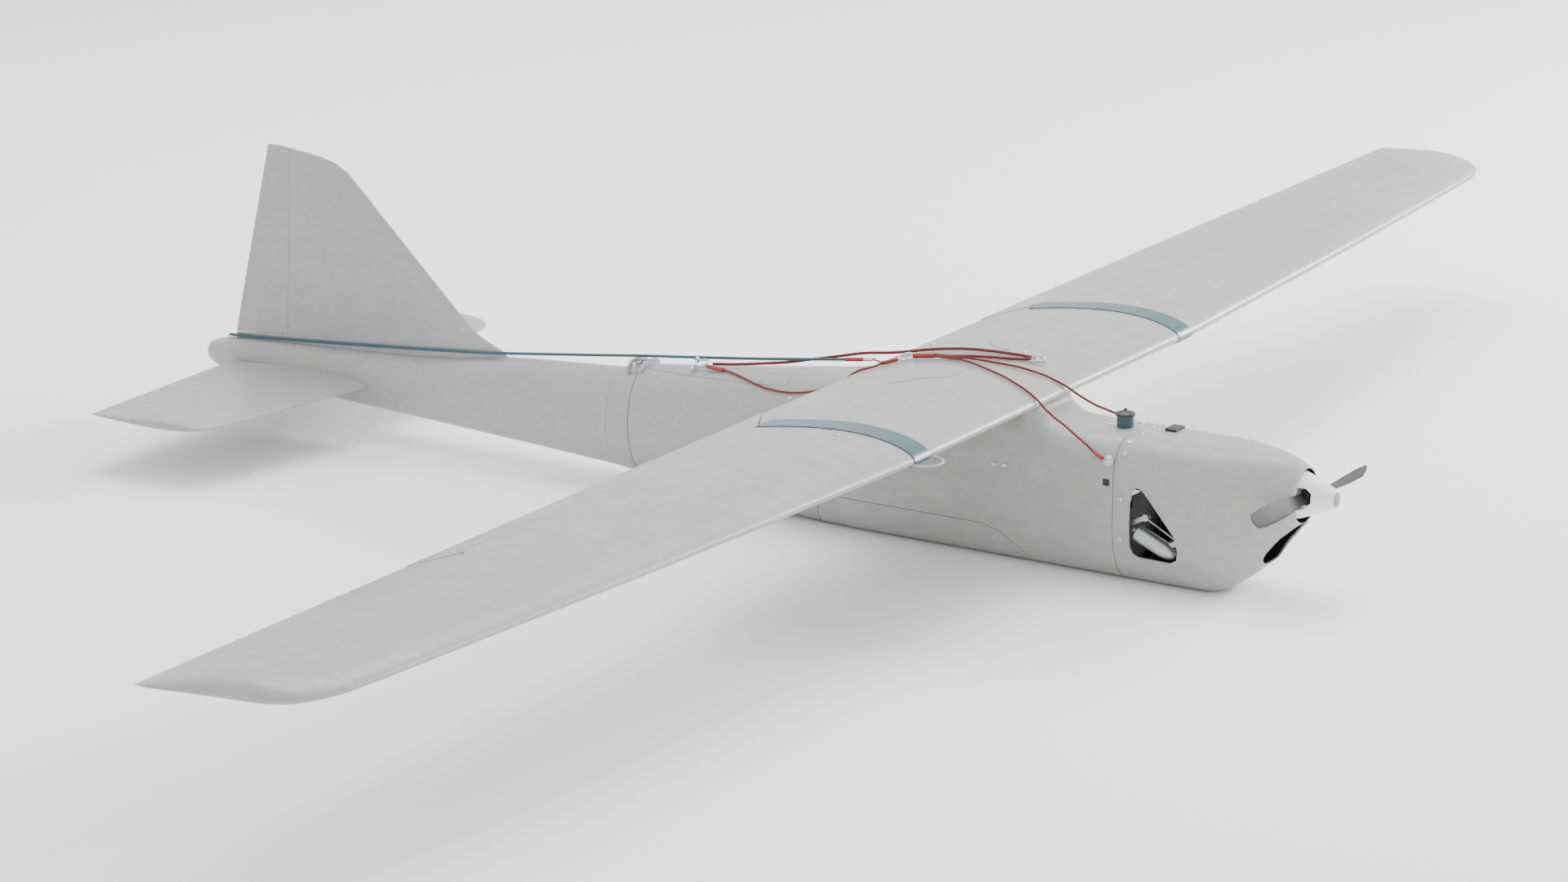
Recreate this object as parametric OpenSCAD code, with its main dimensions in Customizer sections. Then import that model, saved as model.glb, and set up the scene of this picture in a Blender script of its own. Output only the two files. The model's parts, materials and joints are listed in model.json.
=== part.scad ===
/* [Body] */
// Half of the fuselage's width at the nose joint
body_half_w = 71; // [68:0.5:74]
// Height of the fuselage's top deck ahead of the wing
deck_z = 192; // [189:0.5:193]
// Wall of the moulded shells
wall = 3; // [2.5:0.1:3.5]
// Width of the nose's long lower corners
corner_r = 45; // [42:1:48]

/* [Wing] */
// Half of the wing's span, at the trailing edge
half_span = 1550; // [1530:5:1570]
// Chord of the wing's centre section
wing_chord = 279; // [275:1:283]
// Chord where the tip's raked edge starts
tip_chord = 208; // [204:1:212]
// Height of the wing's chord line
wing_z = 220; // [219:0.5:221]
// Half of the centre section's span
centre_half = 350; // [348:1:352]
// Thickness of the wing, as a share of its chord
wing_t = 0.12; // [0.115:0.005:0.125]
// Camber of the wing, as a share of its chord
wing_camber = 0.03; // [0.028:0.001:0.032]

/* [Tail] */
// Height of the tailplane's centre plane
stab_z = 80; // [79:0.5:81]
// Height of the top of the fin
fin_top_z = 401; // [398:1:404]

/* [Drive] */
// Height of the propeller's shaft
shaft_z = 141; // [140:0.5:142]
// Place of the propeller's disc along the aircraft
disc_x = 644; // [643.5:0.5:645]
// Radius of the propeller
prop_r = 162; // [158:1:170]
// Radius of the propeller shaft
shaft_r = 5; // [4.5:0.1:5.5]

/* [Controls] */
// Gap round the moving surfaces
gap = 0.7; // [0.6:0.05:0.9]
// Length of the control horns and servo arms of the ailerons
aileron_arm = 22; // [20:1:24]
// Length of the horns and servo arms of the tail
tail_arm = 14; // [13:0.5:15]

/* [Hidden] */

airframe_grey = [0.74, 0.73, 0.73];
band_teal = [0.30, 0.50, 0.54];
dark_rubber = [0.10, 0.10, 0.11];
bright_steel = [0.75, 0.76, 0.77];
cast_grey = [0.66, 0.70, 0.67];
cord_red = [0.50, 0.08, 0.08];
cord_teal = [0.22, 0.45, 0.50];

// ---- helpers for lofted skins ----

// Points of one rounded section, moved inwards by t. r = [x, bottom, top, half width,
// width and height of the lower corners, width and height of the upper corners]
corner_steps = 7;
function section_corner(sy, sz, y0, z0, ry, rz, up) = [for (k = [0:corner_steps])
    let (g = 90 * (up ? k : corner_steps - k) / corner_steps)
    [sy * (y0 + ry * cos(g)), z0 + sz * rz * sin(g)]];
function section_yz(r, t) =
    let (yb = r[3] - r[4], zb = r[1] + r[5], yt = r[3] - r[6], zt = r[2] - r[7])
    concat(section_corner(1, 1, yt, zt, r[6] - t, r[7] - t, true),
        section_corner(-1, 1, yt, zt, r[6] - t, r[7] - t, false),
        section_corner(-1, -1, yb, zb, r[4] - t, r[5] - t, true),
        section_corner(1, -1, yb, zb, r[4] - t, r[5] - t, false));
function section_3d(r, t) = [for (p = section_yz(r, t)) [r[0], p[0], p[1]]];

// A closed skin through rings of equal length
module skin(rings) {
    n = len(rings[0]);
    m = len(rings);
    sides = [for (k = [0:m - 2], i = [0:n - 1])
        let (a = k * n + i, b = k * n + (i + 1) % n, c = b + n, d = a + n)
        each [[a, c, b], [a, d, c]]];
    caps = [[for (i = [0:n - 1]) i], [for (i = [0:n - 1]) m * n - 1 - i]];
    polyhedron([for (r = rings, p = r) p], concat(sides, caps));
}

module body_loft(stations, t) {
    skin([for (r = stations) section_3d(r, t)]);
}

// Moves the two end stations apart, so that the hollow runs out of the shell's ends
function stretched(stations, before, after) = let (m = len(stations))
    [for (k = [0:m - 1]) let (r = stations[k], d = k == 0 ? -before : k == m - 1 ? after : 0)
        concat([r[0] + d], [for (j = [1:7]) r[j]])];

module shell(stations, before, after) {
    difference() {
        body_loft(stations, 0);
        body_loft(stretched(stations, before, after), wall);
    }
}

// ---- wing sections ----

foil_steps = 12;
function half_thick(s, t) = 5 * t * (0.2969 * sqrt(s) - 0.126 * s - 0.3516 * pow(s, 2)
    + 0.2843 * pow(s, 3) - 0.1015 * pow(s, 4));
function camber_line(s, m) = s < 0.4 ? m / 0.16 * (0.8 * s - s * s)
    : m / 0.36 * (0.2 + 0.8 * s - s * s);
// u runs from -1 at the lower trailing edge, through 0 at the nose, to 1 at the upper one
function foil_at(u, lead, chord, t, m) = let (s = u * u)
    [lead - chord * s, chord * (camber_line(s, m) + sign(u) * half_thick(s, t))];
function foil(lead, chord, t, m) = [for (k = [foil_steps:-1:-foil_steps])
    foil_at(k / foil_steps, lead, chord, t, m)];

// Nose of the wing at a distance y from the middle
taper_y = 372;
rake_y = 1440;
function wing_lead(y) = y <= taper_y ? wing_chord
    : wing_chord + (tip_chord - wing_chord) * (y - taper_y) / (rake_y - taper_y);
tip_stations = [[rake_y, tip_chord], [1472, 199], [1495, 188], [1514, 167], [1528, 108],
    [1540, 58], [half_span, 20]];

module wing_half(y0, te) {
    inner = [for (y = [y0, taper_y, 800]) if (y >= y0) [y, wing_lead(y)]];
    skin([for (q = concat(inner, tip_stations))
        [for (p = foil(q[1], q[1] - te, wing_t, wing_camber)) [p[0], q[0], wing_z + p[1]]]]);
}

module wing_middle() {
    translate([0, centre_half, wing_z]) rotate([90, 0, 0])
        linear_extrude(2 * centre_half) polygon(foil(wing_chord, wing_chord, wing_t, wing_camber));
}

// ---- ailerons ----

hinge_x = 40;
hinge_z = wing_z + 3.5;
nose_r = 6.5;
aileron_in = [357, 285];
aileron_out = [998, 1050];
// Room at the aileron's inner and outer ends, which slant away from the hinge
plan_slack = [4, 3];

// The aileron's outline seen from above, grown at its two ends by the numbers of g
module aileron_plan(g) {
    translate([0, 0, wing_z - 40]) linear_extrude(80) polygon([
        [hinge_x, aileron_in[0] - g[0]], [hinge_x, aileron_out[0] + g[1]],
        [-6, aileron_out[1] + 6 + g[1]], [-6, aileron_in[1] - 11 - g[0]]]);
}

module aileron_nose(r, g) {
    translate([hinge_x, aileron_in[0] - g[0], hinge_z]) rotate([-90, 0, 0])
        cylinder(h = aileron_out[0] - aileron_in[0] + g[0] + g[1], r = r, $fn = 48);
}

module aileron_cut() {
    aileron_plan(plan_slack);
    aileron_nose(nose_r + gap, plan_slack);
}

// ---- stations along the body, as in section_yz ----

joint_x = 397;
body_stations = [
    [-366, 17.5, 169, 48, 46, 74, 46, 74],
    [-250, 10, 182, 55, 50, 74, 50, 76],
    [-144, 3, 194, 63, 50, 76, 48, 72],
    [-80, 0, 201, 68, 48, 78, 44, 60],
    [-30, 0, 207, 70, 46, 80, 40, 50],
    [5, 0, 219, body_half_w, corner_r, 80, 38, 46],
    [60, 0, 226, body_half_w, corner_r, 80, 38, 46],
    [258, 0, 226, body_half_w, corner_r, 80, 38, 46],
    [266, 0, deck_z + 20, body_half_w, corner_r, 80, 40, 44],
    [275, 0, deck_z + 11, body_half_w, corner_r, 80, 41, 44],
    [290, 0, deck_z + 3.5, body_half_w, corner_r, 80, 42, 45],
    [308, 0, deck_z, body_half_w, corner_r, 80, 44, 46],
    [341, 0, deck_z - 0.5, body_half_w, corner_r, 80, 45, 47],
    [joint_x, 0, deck_z, body_half_w, corner_r, 80, 46, 48]];

cowl_stations = [
    [joint_x + 0.3, 0, deck_z, body_half_w, corner_r, 80, 46, 48],
    [512, 0, deck_z + 1, body_half_w - 1, 46, 80, 46, 50],
    [541, 6, deck_z + 1.5, 68, 46, 76, 48, 52],
    [559, 17, deck_z + 1, 65, 46, 72, 50, 54],
    [578, 33, deck_z, 61, 48, 68, 50, 56],
    [595, 48, deck_z - 1.5, 56, 47, 62, 50, 58],
    [612, 63, deck_z - 4.5, 49, 45, 54, 46, 54],
    [626, 81, deck_z - 9, 42, 40, 47, 41, 48],
    [636, 105, 177, 36, 35, 35.5, 35, 35.5]];

boom_stations = [
    [-1126, 76, 90, 6, 5.5, 6.8, 5.5, 6.8],
    [-1121, 69, 96, 12, 11, 13, 11, 13],
    [-1105, 62, 102, 18, 17, 19.5, 17, 19.5],
    [-1080, 60, 107, 23, 22, 23, 22, 23],
    [-985, 51, 114, 28, 27, 31, 27, 31],
    [-900, 45, 119, 33, 32, 36.5, 32, 36.5],
    [-760, 38, 128, 38, 37, 44.5, 37, 44.5],
    [-575, 29, 147, 41, 40, 58.5, 40, 58.5],
    [-404.3, 20, 159, 45.6, 44.6, 69, 44.6, 69]];

collar_stations = [
    [-404, 19, 160, 46.6, 45.6, 70, 45.6, 70],
    [-366.3, 16.5, 170, 49, 47, 75, 47, 75]];

// ---- tail surfaces ----

stab_t = 0.07;
stab_root = 45;
stab_stations = [[stab_root, -816, -1065], [292, -859, -1056], [322, -866, -1055], [340, -877, -1054.5],
    [350, -892, -1054], [354, -918, -1054], [357, -968, -1053.5], [358, -1026, -1053]];
elevator_x = -1018;
elevator_nose = 4.4;

function stab_ring(q, side) = [for (p = foil(q[1], q[1] - q[2], stab_t, 0))
    [p[0], side * q[0], stab_z + p[1]]];
module stab_loft() {
    m = len(stab_stations);
    skin(concat([for (k = [m - 1:-1:0]) stab_ring(stab_stations[k], -1)],
        [for (q = stab_stations) stab_ring(q, 1)]));
}

fin_stations = [[98, -548, -1080, 16], [153, -606, -1068.5, 15.5], [163, -632, -1066, 15],
    [176, -657, -1063, 15], [375, -868, -1015.5, 9], [387, -889, -1012.5, 8],
    [394, -920, -1011, 7.5], [399, -962, -1010, 7],
    [fin_top_z, -985, -1008, 5]];
module fin_loft() {
    skin([for (q = fin_stations) let (c = q[1] - q[2])
        [for (p = foil(q[1], c, q[3] / c, 0)) [p[0], -p[1], q[0]]]]);
}

rudder_x = -985;
rudder_z = 126;
rudder_lean = atan(13 / 273);
rudder_nose = 4.2;
module on_rudder_axis() {
    translate([rudder_x, 0, rudder_z]) rotate([0, rudder_lean, 0]) children();
}

// Space of the rudder, grown by g: behind its hinge line and round it, above its foot
foot_fall = 5.6;
module rudder_space(g) {
    intersection() {
        on_rudder_axis() {
            translate([-200, -40, -40]) cube([200, 80, 360]);
            translate([0, 0, -40]) cylinder(h = 360, r = rudder_nose + g, $fn = 40);
        }
        translate([rudder_x, 0, rudder_z - g]) rotate([0, -foot_fall, 0])
            translate([-200, -50, 0]) cube([260, 100, 330]);
    }
}

// Plan outline of one half of the elevator; side is 1 or -1
elevator_in = 27;
elevator_out = 311;
module elevator_plan(g, side) {
    translate([0, 0, stab_z - 20]) linear_extrude(40) polygon([
        [elevator_x, side * (elevator_in - g)], [elevator_x, side * (elevator_out + g)],
        [elevator_x - 60, side * (elevator_out + 32 + g)], [elevator_x - 60, side * (elevator_in - g)]]);
}
module elevator_nose_rod(r, g, side) {
    translate([elevator_x, side * (elevator_in - g), stab_z]) rotate([-90 * side, 0, 0])
        cylinder(h = elevator_out - elevator_in + 2 * g, r = r, $fn = 40);
}

// ---- shells ----

belly_outline = [[-62, -5], [-57, 22], [-47, 41], [-30, 51.5], [203, 51.5], [231, 42], [262, 16],
    [268, -5]];
module belly_zone(g) {
    translate([0, 120, 0]) rotate([90, 0, 0]) linear_extrude(240)
        offset(delta = g) polygon(belly_outline);
}
chute_outline = [[-353, 15], [-279, 25], [-171, 39], [-112, 45]];
// Everything above the parachute hatch's outline, grown by g
module chute_zone(g) {
    translate([0, 0, 110]) linear_extrude(150) offset(delta = g) polygon(concat(chute_outline,
        [for (k = [len(chute_outline) - 1:-1:0]) [chute_outline[k][0], -chute_outline[k][1]]]));
}
side_hole = [[431, 135], [424, 127], [421, 110], [421, 52], [425, 44], [432, 41], [478, 40],
    [488, 46], [491, 58], [486, 78], [443, 129], [437, 134]];
module side_openings() {
    translate([0, 120, 0]) rotate([90, 0, 0]) linear_extrude(240) polygon(side_hole);
}
scoop_half_w = 37;
scoop_half_h = 30;
scoop_z = 74.5;
// Below 1 the scoop's outline is fuller than an ellipse
scoop_power = 0.8;
function full_wave(w) = sign(w) * pow(abs(w), scoop_power);
module scoop() {
    translate([548, 0, scoop_z]) rotate([90, 0, 90]) linear_extrude(120)
        polygon([for (g = [0:15:345])
            [scoop_half_w * full_wave(cos(g)), scoop_half_h * full_wave(sin(g))]]);
}

module fuselage_shell() {
    color(airframe_grey) difference() {
        shell(body_stations, 5, 5);
        wing_middle();
        belly_zone(0.4);
        chute_zone(0.4);
        translate([filler_x, 0, 150]) cylinder(h = 60, r = neck_r + 0.05, $fn = 48);
    }
}
module belly_hatch() {
    color(airframe_grey) intersection() {
        shell(body_stations, 5, 5);
        belly_zone(0);
    }
}
module parachute_hatch() {
    color(airframe_grey) intersection() {
        shell(body_stations, 5, 5);
        chute_zone(0);
    }
}
module nose_cowl() {
    color(airframe_grey) difference() {
        shell(cowl_stations, 5, 5);
        side_openings();
        scoop();
    }
}
module joint_collar() {
    color(airframe_grey) shell(collar_stations, 5, 5);
}
module boom_hollow() {
    m = len(boom_stations);
    body_loft(stretched([for (k = [2:m - 1]) boom_stations[k]], 0, 5), wall);
}
post_r = 3;
torque_r = 3.2;
module tail_boom() {
    color(airframe_grey) difference() {
        body_loft(boom_stations, 0);
        boom_hollow();
        translate([0, stab_root, stab_z]) rotate([90, 0, 0]) linear_extrude(2 * stab_root)
            polygon(foil(-816, 249, stab_t, 0));
        translate([elevator_x, 60, stab_z]) rotate([90, 0, 0])
            cylinder(h = 120, r = torque_r + 0.06, $fn = 40);
        on_rudder_axis() translate([0, 0, -30]) cylinder(h = 40, r = post_r + 0.06, $fn = 40);
    }
}

// ---- wing ----

main_spar_x = 190;
main_spar_z = wing_z + 8.5;
main_spar_r = 8;
rear_spar_x = 85;
rear_spar_z = wing_z + 6;
rear_spar_r = 5;
spar_half = 640;
servo_y = 600;
servo_x = 132;
servo_z = wing_z + 1.5;
module spar_holes(slack) {
    for (q = [[main_spar_x, main_spar_z, main_spar_r], [rear_spar_x, rear_spar_z, rear_spar_r]])
        translate([q[0], spar_half + 1, q[1]]) rotate([90, 0, 0])
            cylinder(h = 2 * spar_half + 2, r = q[2] + slack, $fn = 48);
}
module spar_tubes() {
    color("dimgray") difference() {
        for (q = [[main_spar_x, main_spar_z, main_spar_r], [rear_spar_x, rear_spar_z, rear_spar_r]])
            translate([q[0], spar_half, q[1]]) rotate([90, 0, 0])
                cylinder(h = 2 * spar_half, r = q[2], $fn = 48);
        for (q = [[main_spar_x, main_spar_z, main_spar_r], [rear_spar_x, rear_spar_z, rear_spar_r]])
            translate([q[0], spar_half + 1, q[1]]) rotate([90, 0, 0])
                cylinder(h = 2 * spar_half + 2, r = q[2] - 1.5, $fn = 48);
    }
}
module wing_centre() {
    color(airframe_grey) difference() {
        wing_middle();
        spar_holes(0.05);
        aileron_cut();
        mirror([0, 1, 0]) aileron_cut();
    }
}
// Pocket for the servo, open below
module servo_pocket() {
    translate([servo_x - 26, servo_y - 6, wing_z - 15]) cube([40, 36, 31]);
}
module outer_wing() {
    difference() {
        wing_half(centre_half + 0.3, 0);
        spar_holes(0.05);
        aileron_cut();
        servo_pocket();
    }
}
module outer_wing_left() { color(airframe_grey) outer_wing(); }
module outer_wing_right() { color(airframe_grey) mirror([0, 1, 0]) outer_wing(); }

horn_t = 2;
module aileron_horn() {
    translate([0, servo_y + horn_t / 2, 0]) rotate([90, 0, 0]) linear_extrude(horn_t) difference() {
        polygon([[8, hinge_z - 3], [36, hinge_z - 3], [hinge_x + 4, hinge_z - aileron_arm + 2],
            [hinge_x + 3, hinge_z - aileron_arm - 3], [hinge_x - 3, hinge_z - aileron_arm - 4],
            [hinge_x - 8, hinge_z - aileron_arm]]);
        translate([hinge_x, hinge_z - aileron_arm]) circle(r = 1.15, $fn = 24);
    }
}
// The round nose stands a little above the skin, as a ridge along the hinge
module aileron() {
    intersection() {
        wing_half(270, -2);
        aileron_plan([0, 0]);
    }
    aileron_nose(nose_r, [0, 0]);
    aileron_horn();
}
module aileron_left() { color(airframe_grey) aileron(); }
module aileron_right() { color(airframe_grey) mirror([0, 1, 0]) aileron(); }

module servo_arm_shape(len, pin_side) {
    // arm hanging from the shaft, in the XZ plane, plate about y = 0
    rotate([90, 0, 0]) translate([0, 0, -horn_t / 2]) linear_extrude(horn_t) difference() {
        polygon([[-4, 0], [-3.4, 3.4], [0, 4.6], [3.4, 3.4], [4, 0], [2.6, -len], [1.8, -len - 2.2],
            [0, -len - 3], [-1.8, -len - 2.2], [-2.6, -len]]);
        translate([0, -len]) circle(r = 1.15, $fn = 24);
    }
    rotate([-90, 0, 0]) translate([0, 0, pin_side > 0 ? 0 : -6]) cylinder(h = 6, r = 2.5, $fn = 32);
}
module aileron_servo() {
    difference() {
        translate([servo_x - 24, servo_y + 5, servo_z - 9.5]) cube([34, 22, 20]);
        translate([servo_x, servo_y, servo_z]) rotate([-90, 0, 0]) cylinder(h = 12, r = 2.56, $fn = 32);
    }
}
module aileron_servos() {
    color("dimgray") {
        aileron_servo();
        mirror([0, 1, 0]) aileron_servo();
    }
}
module servo_arm_left() {
    color("white") translate([servo_x, servo_y, servo_z]) servo_arm_shape(aileron_arm, 1);
}
module servo_arm_right() {
    color("white") mirror([0, 1, 0]) translate([servo_x, servo_y, servo_z]) servo_arm_shape(aileron_arm, 1);
}
// A wire from one hole to another, with a bent end through each
module wire(a, b, side, r, rod_r) {
    d = b - a;
    len = norm(d);
    translate(a + [0, side * 2.6, 0]) rotate([0, atan2(d[0], d[2]), 0])
        translate([0, 0, -r]) cylinder(h = len + 2 * r, r = rod_r, $fn = 24);
    for (p = [a, b]) translate(p + [0, -side * 1.6, 0]) rotate([-90 * side, 0, 0])
        cylinder(h = 4.2, r = r, $fn = 24);
}
wire_r = 1.1;
module pushrod() {
    wire([hinge_x, servo_y, hinge_z - aileron_arm], [servo_x, servo_y, servo_z - aileron_arm],
        -1, wire_r, wire_r + 0.15);
}
module pushrod_left() { color(bright_steel) pushrod(); }
module pushrod_right() { color(bright_steel) mirror([0, 1, 0]) pushrod(); }

// ---- bands over the wing's joints ----

band_in = 333;
band_out = 370;
band_t = 1.4;
band_steps = 16;
band_from = 0.915;
band_to = -0.42;
function band_point(k, h) = let (u = band_from + (band_to - band_from) * k / band_steps, d = 0.004,
    p = foil_at(u, wing_chord, wing_chord, wing_t, wing_camber),
    a = foil_at(u + d, wing_chord, wing_chord, wing_t, wing_camber),
    b = foil_at(u - d, wing_chord, wing_chord, wing_t, wing_camber),
    v = (b - a) / norm(b - a)) p + h * [-v[1], v[0]];
module band() {
    translate([0, band_out, wing_z]) rotate([90, 0, 0]) linear_extrude(band_out - band_in)
        polygon(concat([for (k = [0:band_steps]) band_point(k, 0.15)],
            [for (k = [band_steps:-1:0]) band_point(k, band_t)]));
}
module wing_bands() {
    color(band_teal) {
        band();
        mirror([0, 1, 0]) band();
    }
}
loop_r = 1.6;
loop_w = 24;
// The straight legs of bent wires are drawn this much thinner than their bends
leg_slack = 0.15;
loop_y = -350;
module lifting_loop() {
    color(airframe_grey) translate([wing_chord + 1.5, loop_y, wing_z - 3]) {
        intersection() {
            rotate_extrude($fn = 64) translate([loop_w, 0]) circle(r = loop_r, $fn = 24);
            translate([0, -40, -5]) cube([40, 80, 10]);
        }
        for (s = [-1, 1]) translate([-12, s * loop_w, 0]) rotate([0, 90, 0])
            cylinder(h = 12.5, r = loop_r - leg_slack, $fn = 24);
    }
}

// ---- tail ----

module stabiliser() {
    color(airframe_grey) difference() {
        stab_loft();
        for (s = [-1, 1]) {
            elevator_plan(1.4, s);
            elevator_nose_rod(elevator_nose + gap, 1.4, s);
        }
        translate([elevator_x - 60, -elevator_in, stab_z - 20])
            cube([60 + elevator_nose + 4, 2 * elevator_in, 40]);
    }
}
elevator_horn_y = 9;
module tail_horn(len) {
    difference() {
        linear_extrude(horn_t) polygon([[-5, 0], [-4, 4.4], [0, 5.6], [4, 4.4], [5, 0], [2.8, -len],
            [0, -len - 3], [-2.8, -len]]);
        translate([0, -len, -1]) cylinder(h = horn_t + 2, r = 1.15, $fn = 24);
    }
}
module elevator() {
    color(airframe_grey) {
        intersection() {
            stab_loft();
            union() for (s = [-1, 1]) {
                elevator_plan(0, s);
                elevator_nose_rod(elevator_nose, 0, s);
            }
        }
        translate([elevator_x, 34, stab_z]) rotate([90, 0, 0]) cylinder(h = 68, r = torque_r, $fn = 40);
        translate([elevator_x, elevator_horn_y + horn_t, stab_z]) rotate([90, 0, 0]) tail_horn(tail_arm);
    }
}
tail_servo_x = -790;
module elevator_servo_arm() {
    color("white") translate([tail_servo_x, elevator_horn_y + horn_t / 2, stab_z])
        servo_arm_shape(tail_arm, -1);
}
module elevator_pushrod() {
    color(bright_steel) wire([elevator_x, elevator_horn_y + horn_t / 2, stab_z - tail_arm],
        [tail_servo_x, elevator_horn_y + horn_t / 2, stab_z - tail_arm], 1, wire_r, wire_r);
}
module fin() {
    color(airframe_grey) difference() {
        fin_loft();
        rudder_space(gap);
        on_rudder_axis() translate([0, 0, -40]) cylinder(h = 60, r = post_r + 0.06, $fn = 40);
        body_loft([for (k = [1:8]) boom_stations[k]], 0);
    }
}
rudder_horn_h = -28;
module rudder() {
    color(airframe_grey) {
        intersection() {
            fin_loft();
            rudder_space(0);
        }
        on_rudder_axis() {
            translate([0, 0, rudder_horn_h]) cylinder(h = 34, r = post_r, $fn = 40);
            translate([0, 0, rudder_horn_h]) tail_horn(tail_arm);
        }
    }
}
rudder_rod_z = rudder_z + rudder_horn_h + horn_t / 2;
module rudder_servo_arm() {
    color("white") translate([tail_servo_x, 0, rudder_rod_z]) rotate([0, rudder_lean, 0]) {
        translate([0, 0, -horn_t / 2]) tail_horn(tail_arm);
        translate([0, 0, -8]) cylinder(h = 8, r = 2.5, $fn = 32);
    }
}
module rudder_pushrod() {
    color(bright_steel) {
        a = [rudder_x - 1.3, -tail_arm, rudder_rod_z];
        b = [tail_servo_x, -tail_arm, rudder_rod_z];
        translate([a[0] - wire_r, a[1], rudder_rod_z + 2.4]) rotate([0, 90, 0])
            cylinder(h = b[0] - a[0] + 2 * wire_r, r = wire_r, $fn = 24);
        for (p = [a, b]) translate(p + [0, 0, -1.6]) cylinder(h = 4, r = wire_r, $fn = 24);
    }
}
module tail_servos() {
    color("dimgray") {
        difference() {
            translate([tail_servo_x - 10, -12, stab_z - 10]) cube([30, 18, 16]);
            translate([tail_servo_x, 0, stab_z]) rotate([-90, 0, 0]) cylinder(h = 12, r = 2.56, $fn = 32);
        }
        difference() {
            translate([tail_servo_x - 10, -9, rudder_rod_z - 8.5]) cube([30, 18, 6.5]);
            translate([tail_servo_x, 0, rudder_rod_z]) rotate([0, rudder_lean, 0]) translate([0, 0, -9])
                cylinder(h = 12, r = 2.56, $fn = 32);
        }
    }
}

// ---- engine, fuel and equipment ----

module firewall() {
    color("burlywood") difference() {
        body_loft([[joint_x - 5, 0, deck_z, body_half_w, corner_r, 80, 46, 48],
            [joint_x - 1, 0, deck_z, body_half_w, corner_r, 80, 46, 48]], wall + 0.4);
        translate([joint_x - 10, -20, 95]) rotate([0, 90, 0]) cylinder(h = 20, r = 6, $fn = 32);
    }
}
mount_y = 30;
mount_z = shaft_z - 20;
module engine_mount() {
    color("silver") {
        for (s = [-1, 1]) translate([joint_x - 0.8, s * mount_y - 6, mount_z]) cube([184, 12, 13.8]);
        difference() {
            translate([joint_x - 0.8, -42, mount_z - 12]) cube([5, 84, 38]);
            translate([joint_x - 10, 0, mount_z + 7]) rotate([0, 90, 0]) cylinder(h = 30, r = 12, $fn = 40);
        }
    }
}
crank_x = [500, 585];
module crankcase() {
    color(cast_grey) difference() {
        union() {
            translate([crank_x[0], -23, shaft_z - 26]) cube([crank_x[1] - crank_x[0], 46, 50]);
            translate([crank_x[0], 0, shaft_z]) rotate([0, 90, 0])
                cylinder(h = crank_x[1] - crank_x[0] + 30, r = 17, $fn = 48);
            translate([crank_x[0] + 8, -37, shaft_z - 6]) cube([66, 74, 8]);
        }
        translate([crank_x[0] + 60, 0, shaft_z]) rotate([0, 90, 0])
            cylinder(h = 80, r = shaft_r + 0.05, $fn = 48);
    }
}
cyl_x = 545;
fin_count = 9;
module engine_cylinder() {
    color(cast_grey) {
        translate([cyl_x, 0, shaft_z - 84]) cylinder(h = 57.8, r = 16, $fn = 48);
        for (k = [0:fin_count - 1]) translate([cyl_x, 0, shaft_z - 82 + 5.6 * k])
            cylinder(h = 2, r = 25, $fn = 48);
        translate([cyl_x, 0, shaft_z - 90]) cylinder(h = 6, r = 22, $fn = 48);
    }
}
module spark_plug() {
    color(bright_steel) translate([cyl_x, 0, shaft_z - 90.2]) mirror([0, 0, 1]) {
        cylinder(h = 6, r = 7.5, $fn = 6);
        translate([0, 0, 6]) cylinder(h = 12, r = 4, $fn = 32);
        translate([0, 0, 18]) cylinder(h = 5, r = 2, $fn = 32);
    }
}
module carburettor() {
    color("silver") {
        translate([crank_x[0] - 24, -15, shaft_z - 16]) cube([23.8, 30, 30]);
        translate([crank_x[0] - 36, 0, shaft_z]) rotate([0, 90, 0]) difference() {
            cylinder(h = 12.5, r = 11, $fn = 40);
            translate([0, 0, -1]) cylinder(h = 11, r = 8, $fn = 40);
        }
    }
}
muffler_at = [424, -54, 71];
muffler_tilt = 113;
muffler_r = 11;
muffler_len = 62;
module muffler() {
    color(cast_grey) {
        translate(muffler_at) rotate([0, muffler_tilt, 0]) {
            rotate_extrude($fn = 48) polygon([[0, 0], [muffler_r - 1.5, 0], [muffler_r, 2],
                [muffler_r, 40], [muffler_r - 1, 50], [muffler_r - 3.5, 57],
                [muffler_r - 7, muffler_len], [0, muffler_len + 1]]);
            translate([0, 0, -5]) cylinder(h = 6, r = 4.5, $fn = 32);
        }
        translate([466, -52, 56]) rotate([0, 64, 22]) cylinder(h = 70, r = 6, $fn = 32);
    }
}
module throttle_linkage() {
    color(cast_grey) {
        translate([421, -50.5, 85]) rotate([90, 0, 0]) cylinder(h = 8, r = 4, $fn = 32);
        translate([438, -50.5, 93]) rotate([90, 0, 0]) cylinder(h = 8, r = 4.5, $fn = 32);
        translate([429.5, -54.5, 89]) rotate([0, -25.2, 0]) translate([-9, -2.5, -3]) cube([18, 5, 6]);
        translate([438, -56.5, 93]) rotate([0, 118, 0]) cylinder(h = 50, r = 1.1, $fn = 24);
        translate([413, -53, 86]) rotate([0, 90, 0]) cylinder(h = 8, r = 2, $fn = 24);
    }
}

// ---- propeller ----

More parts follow.
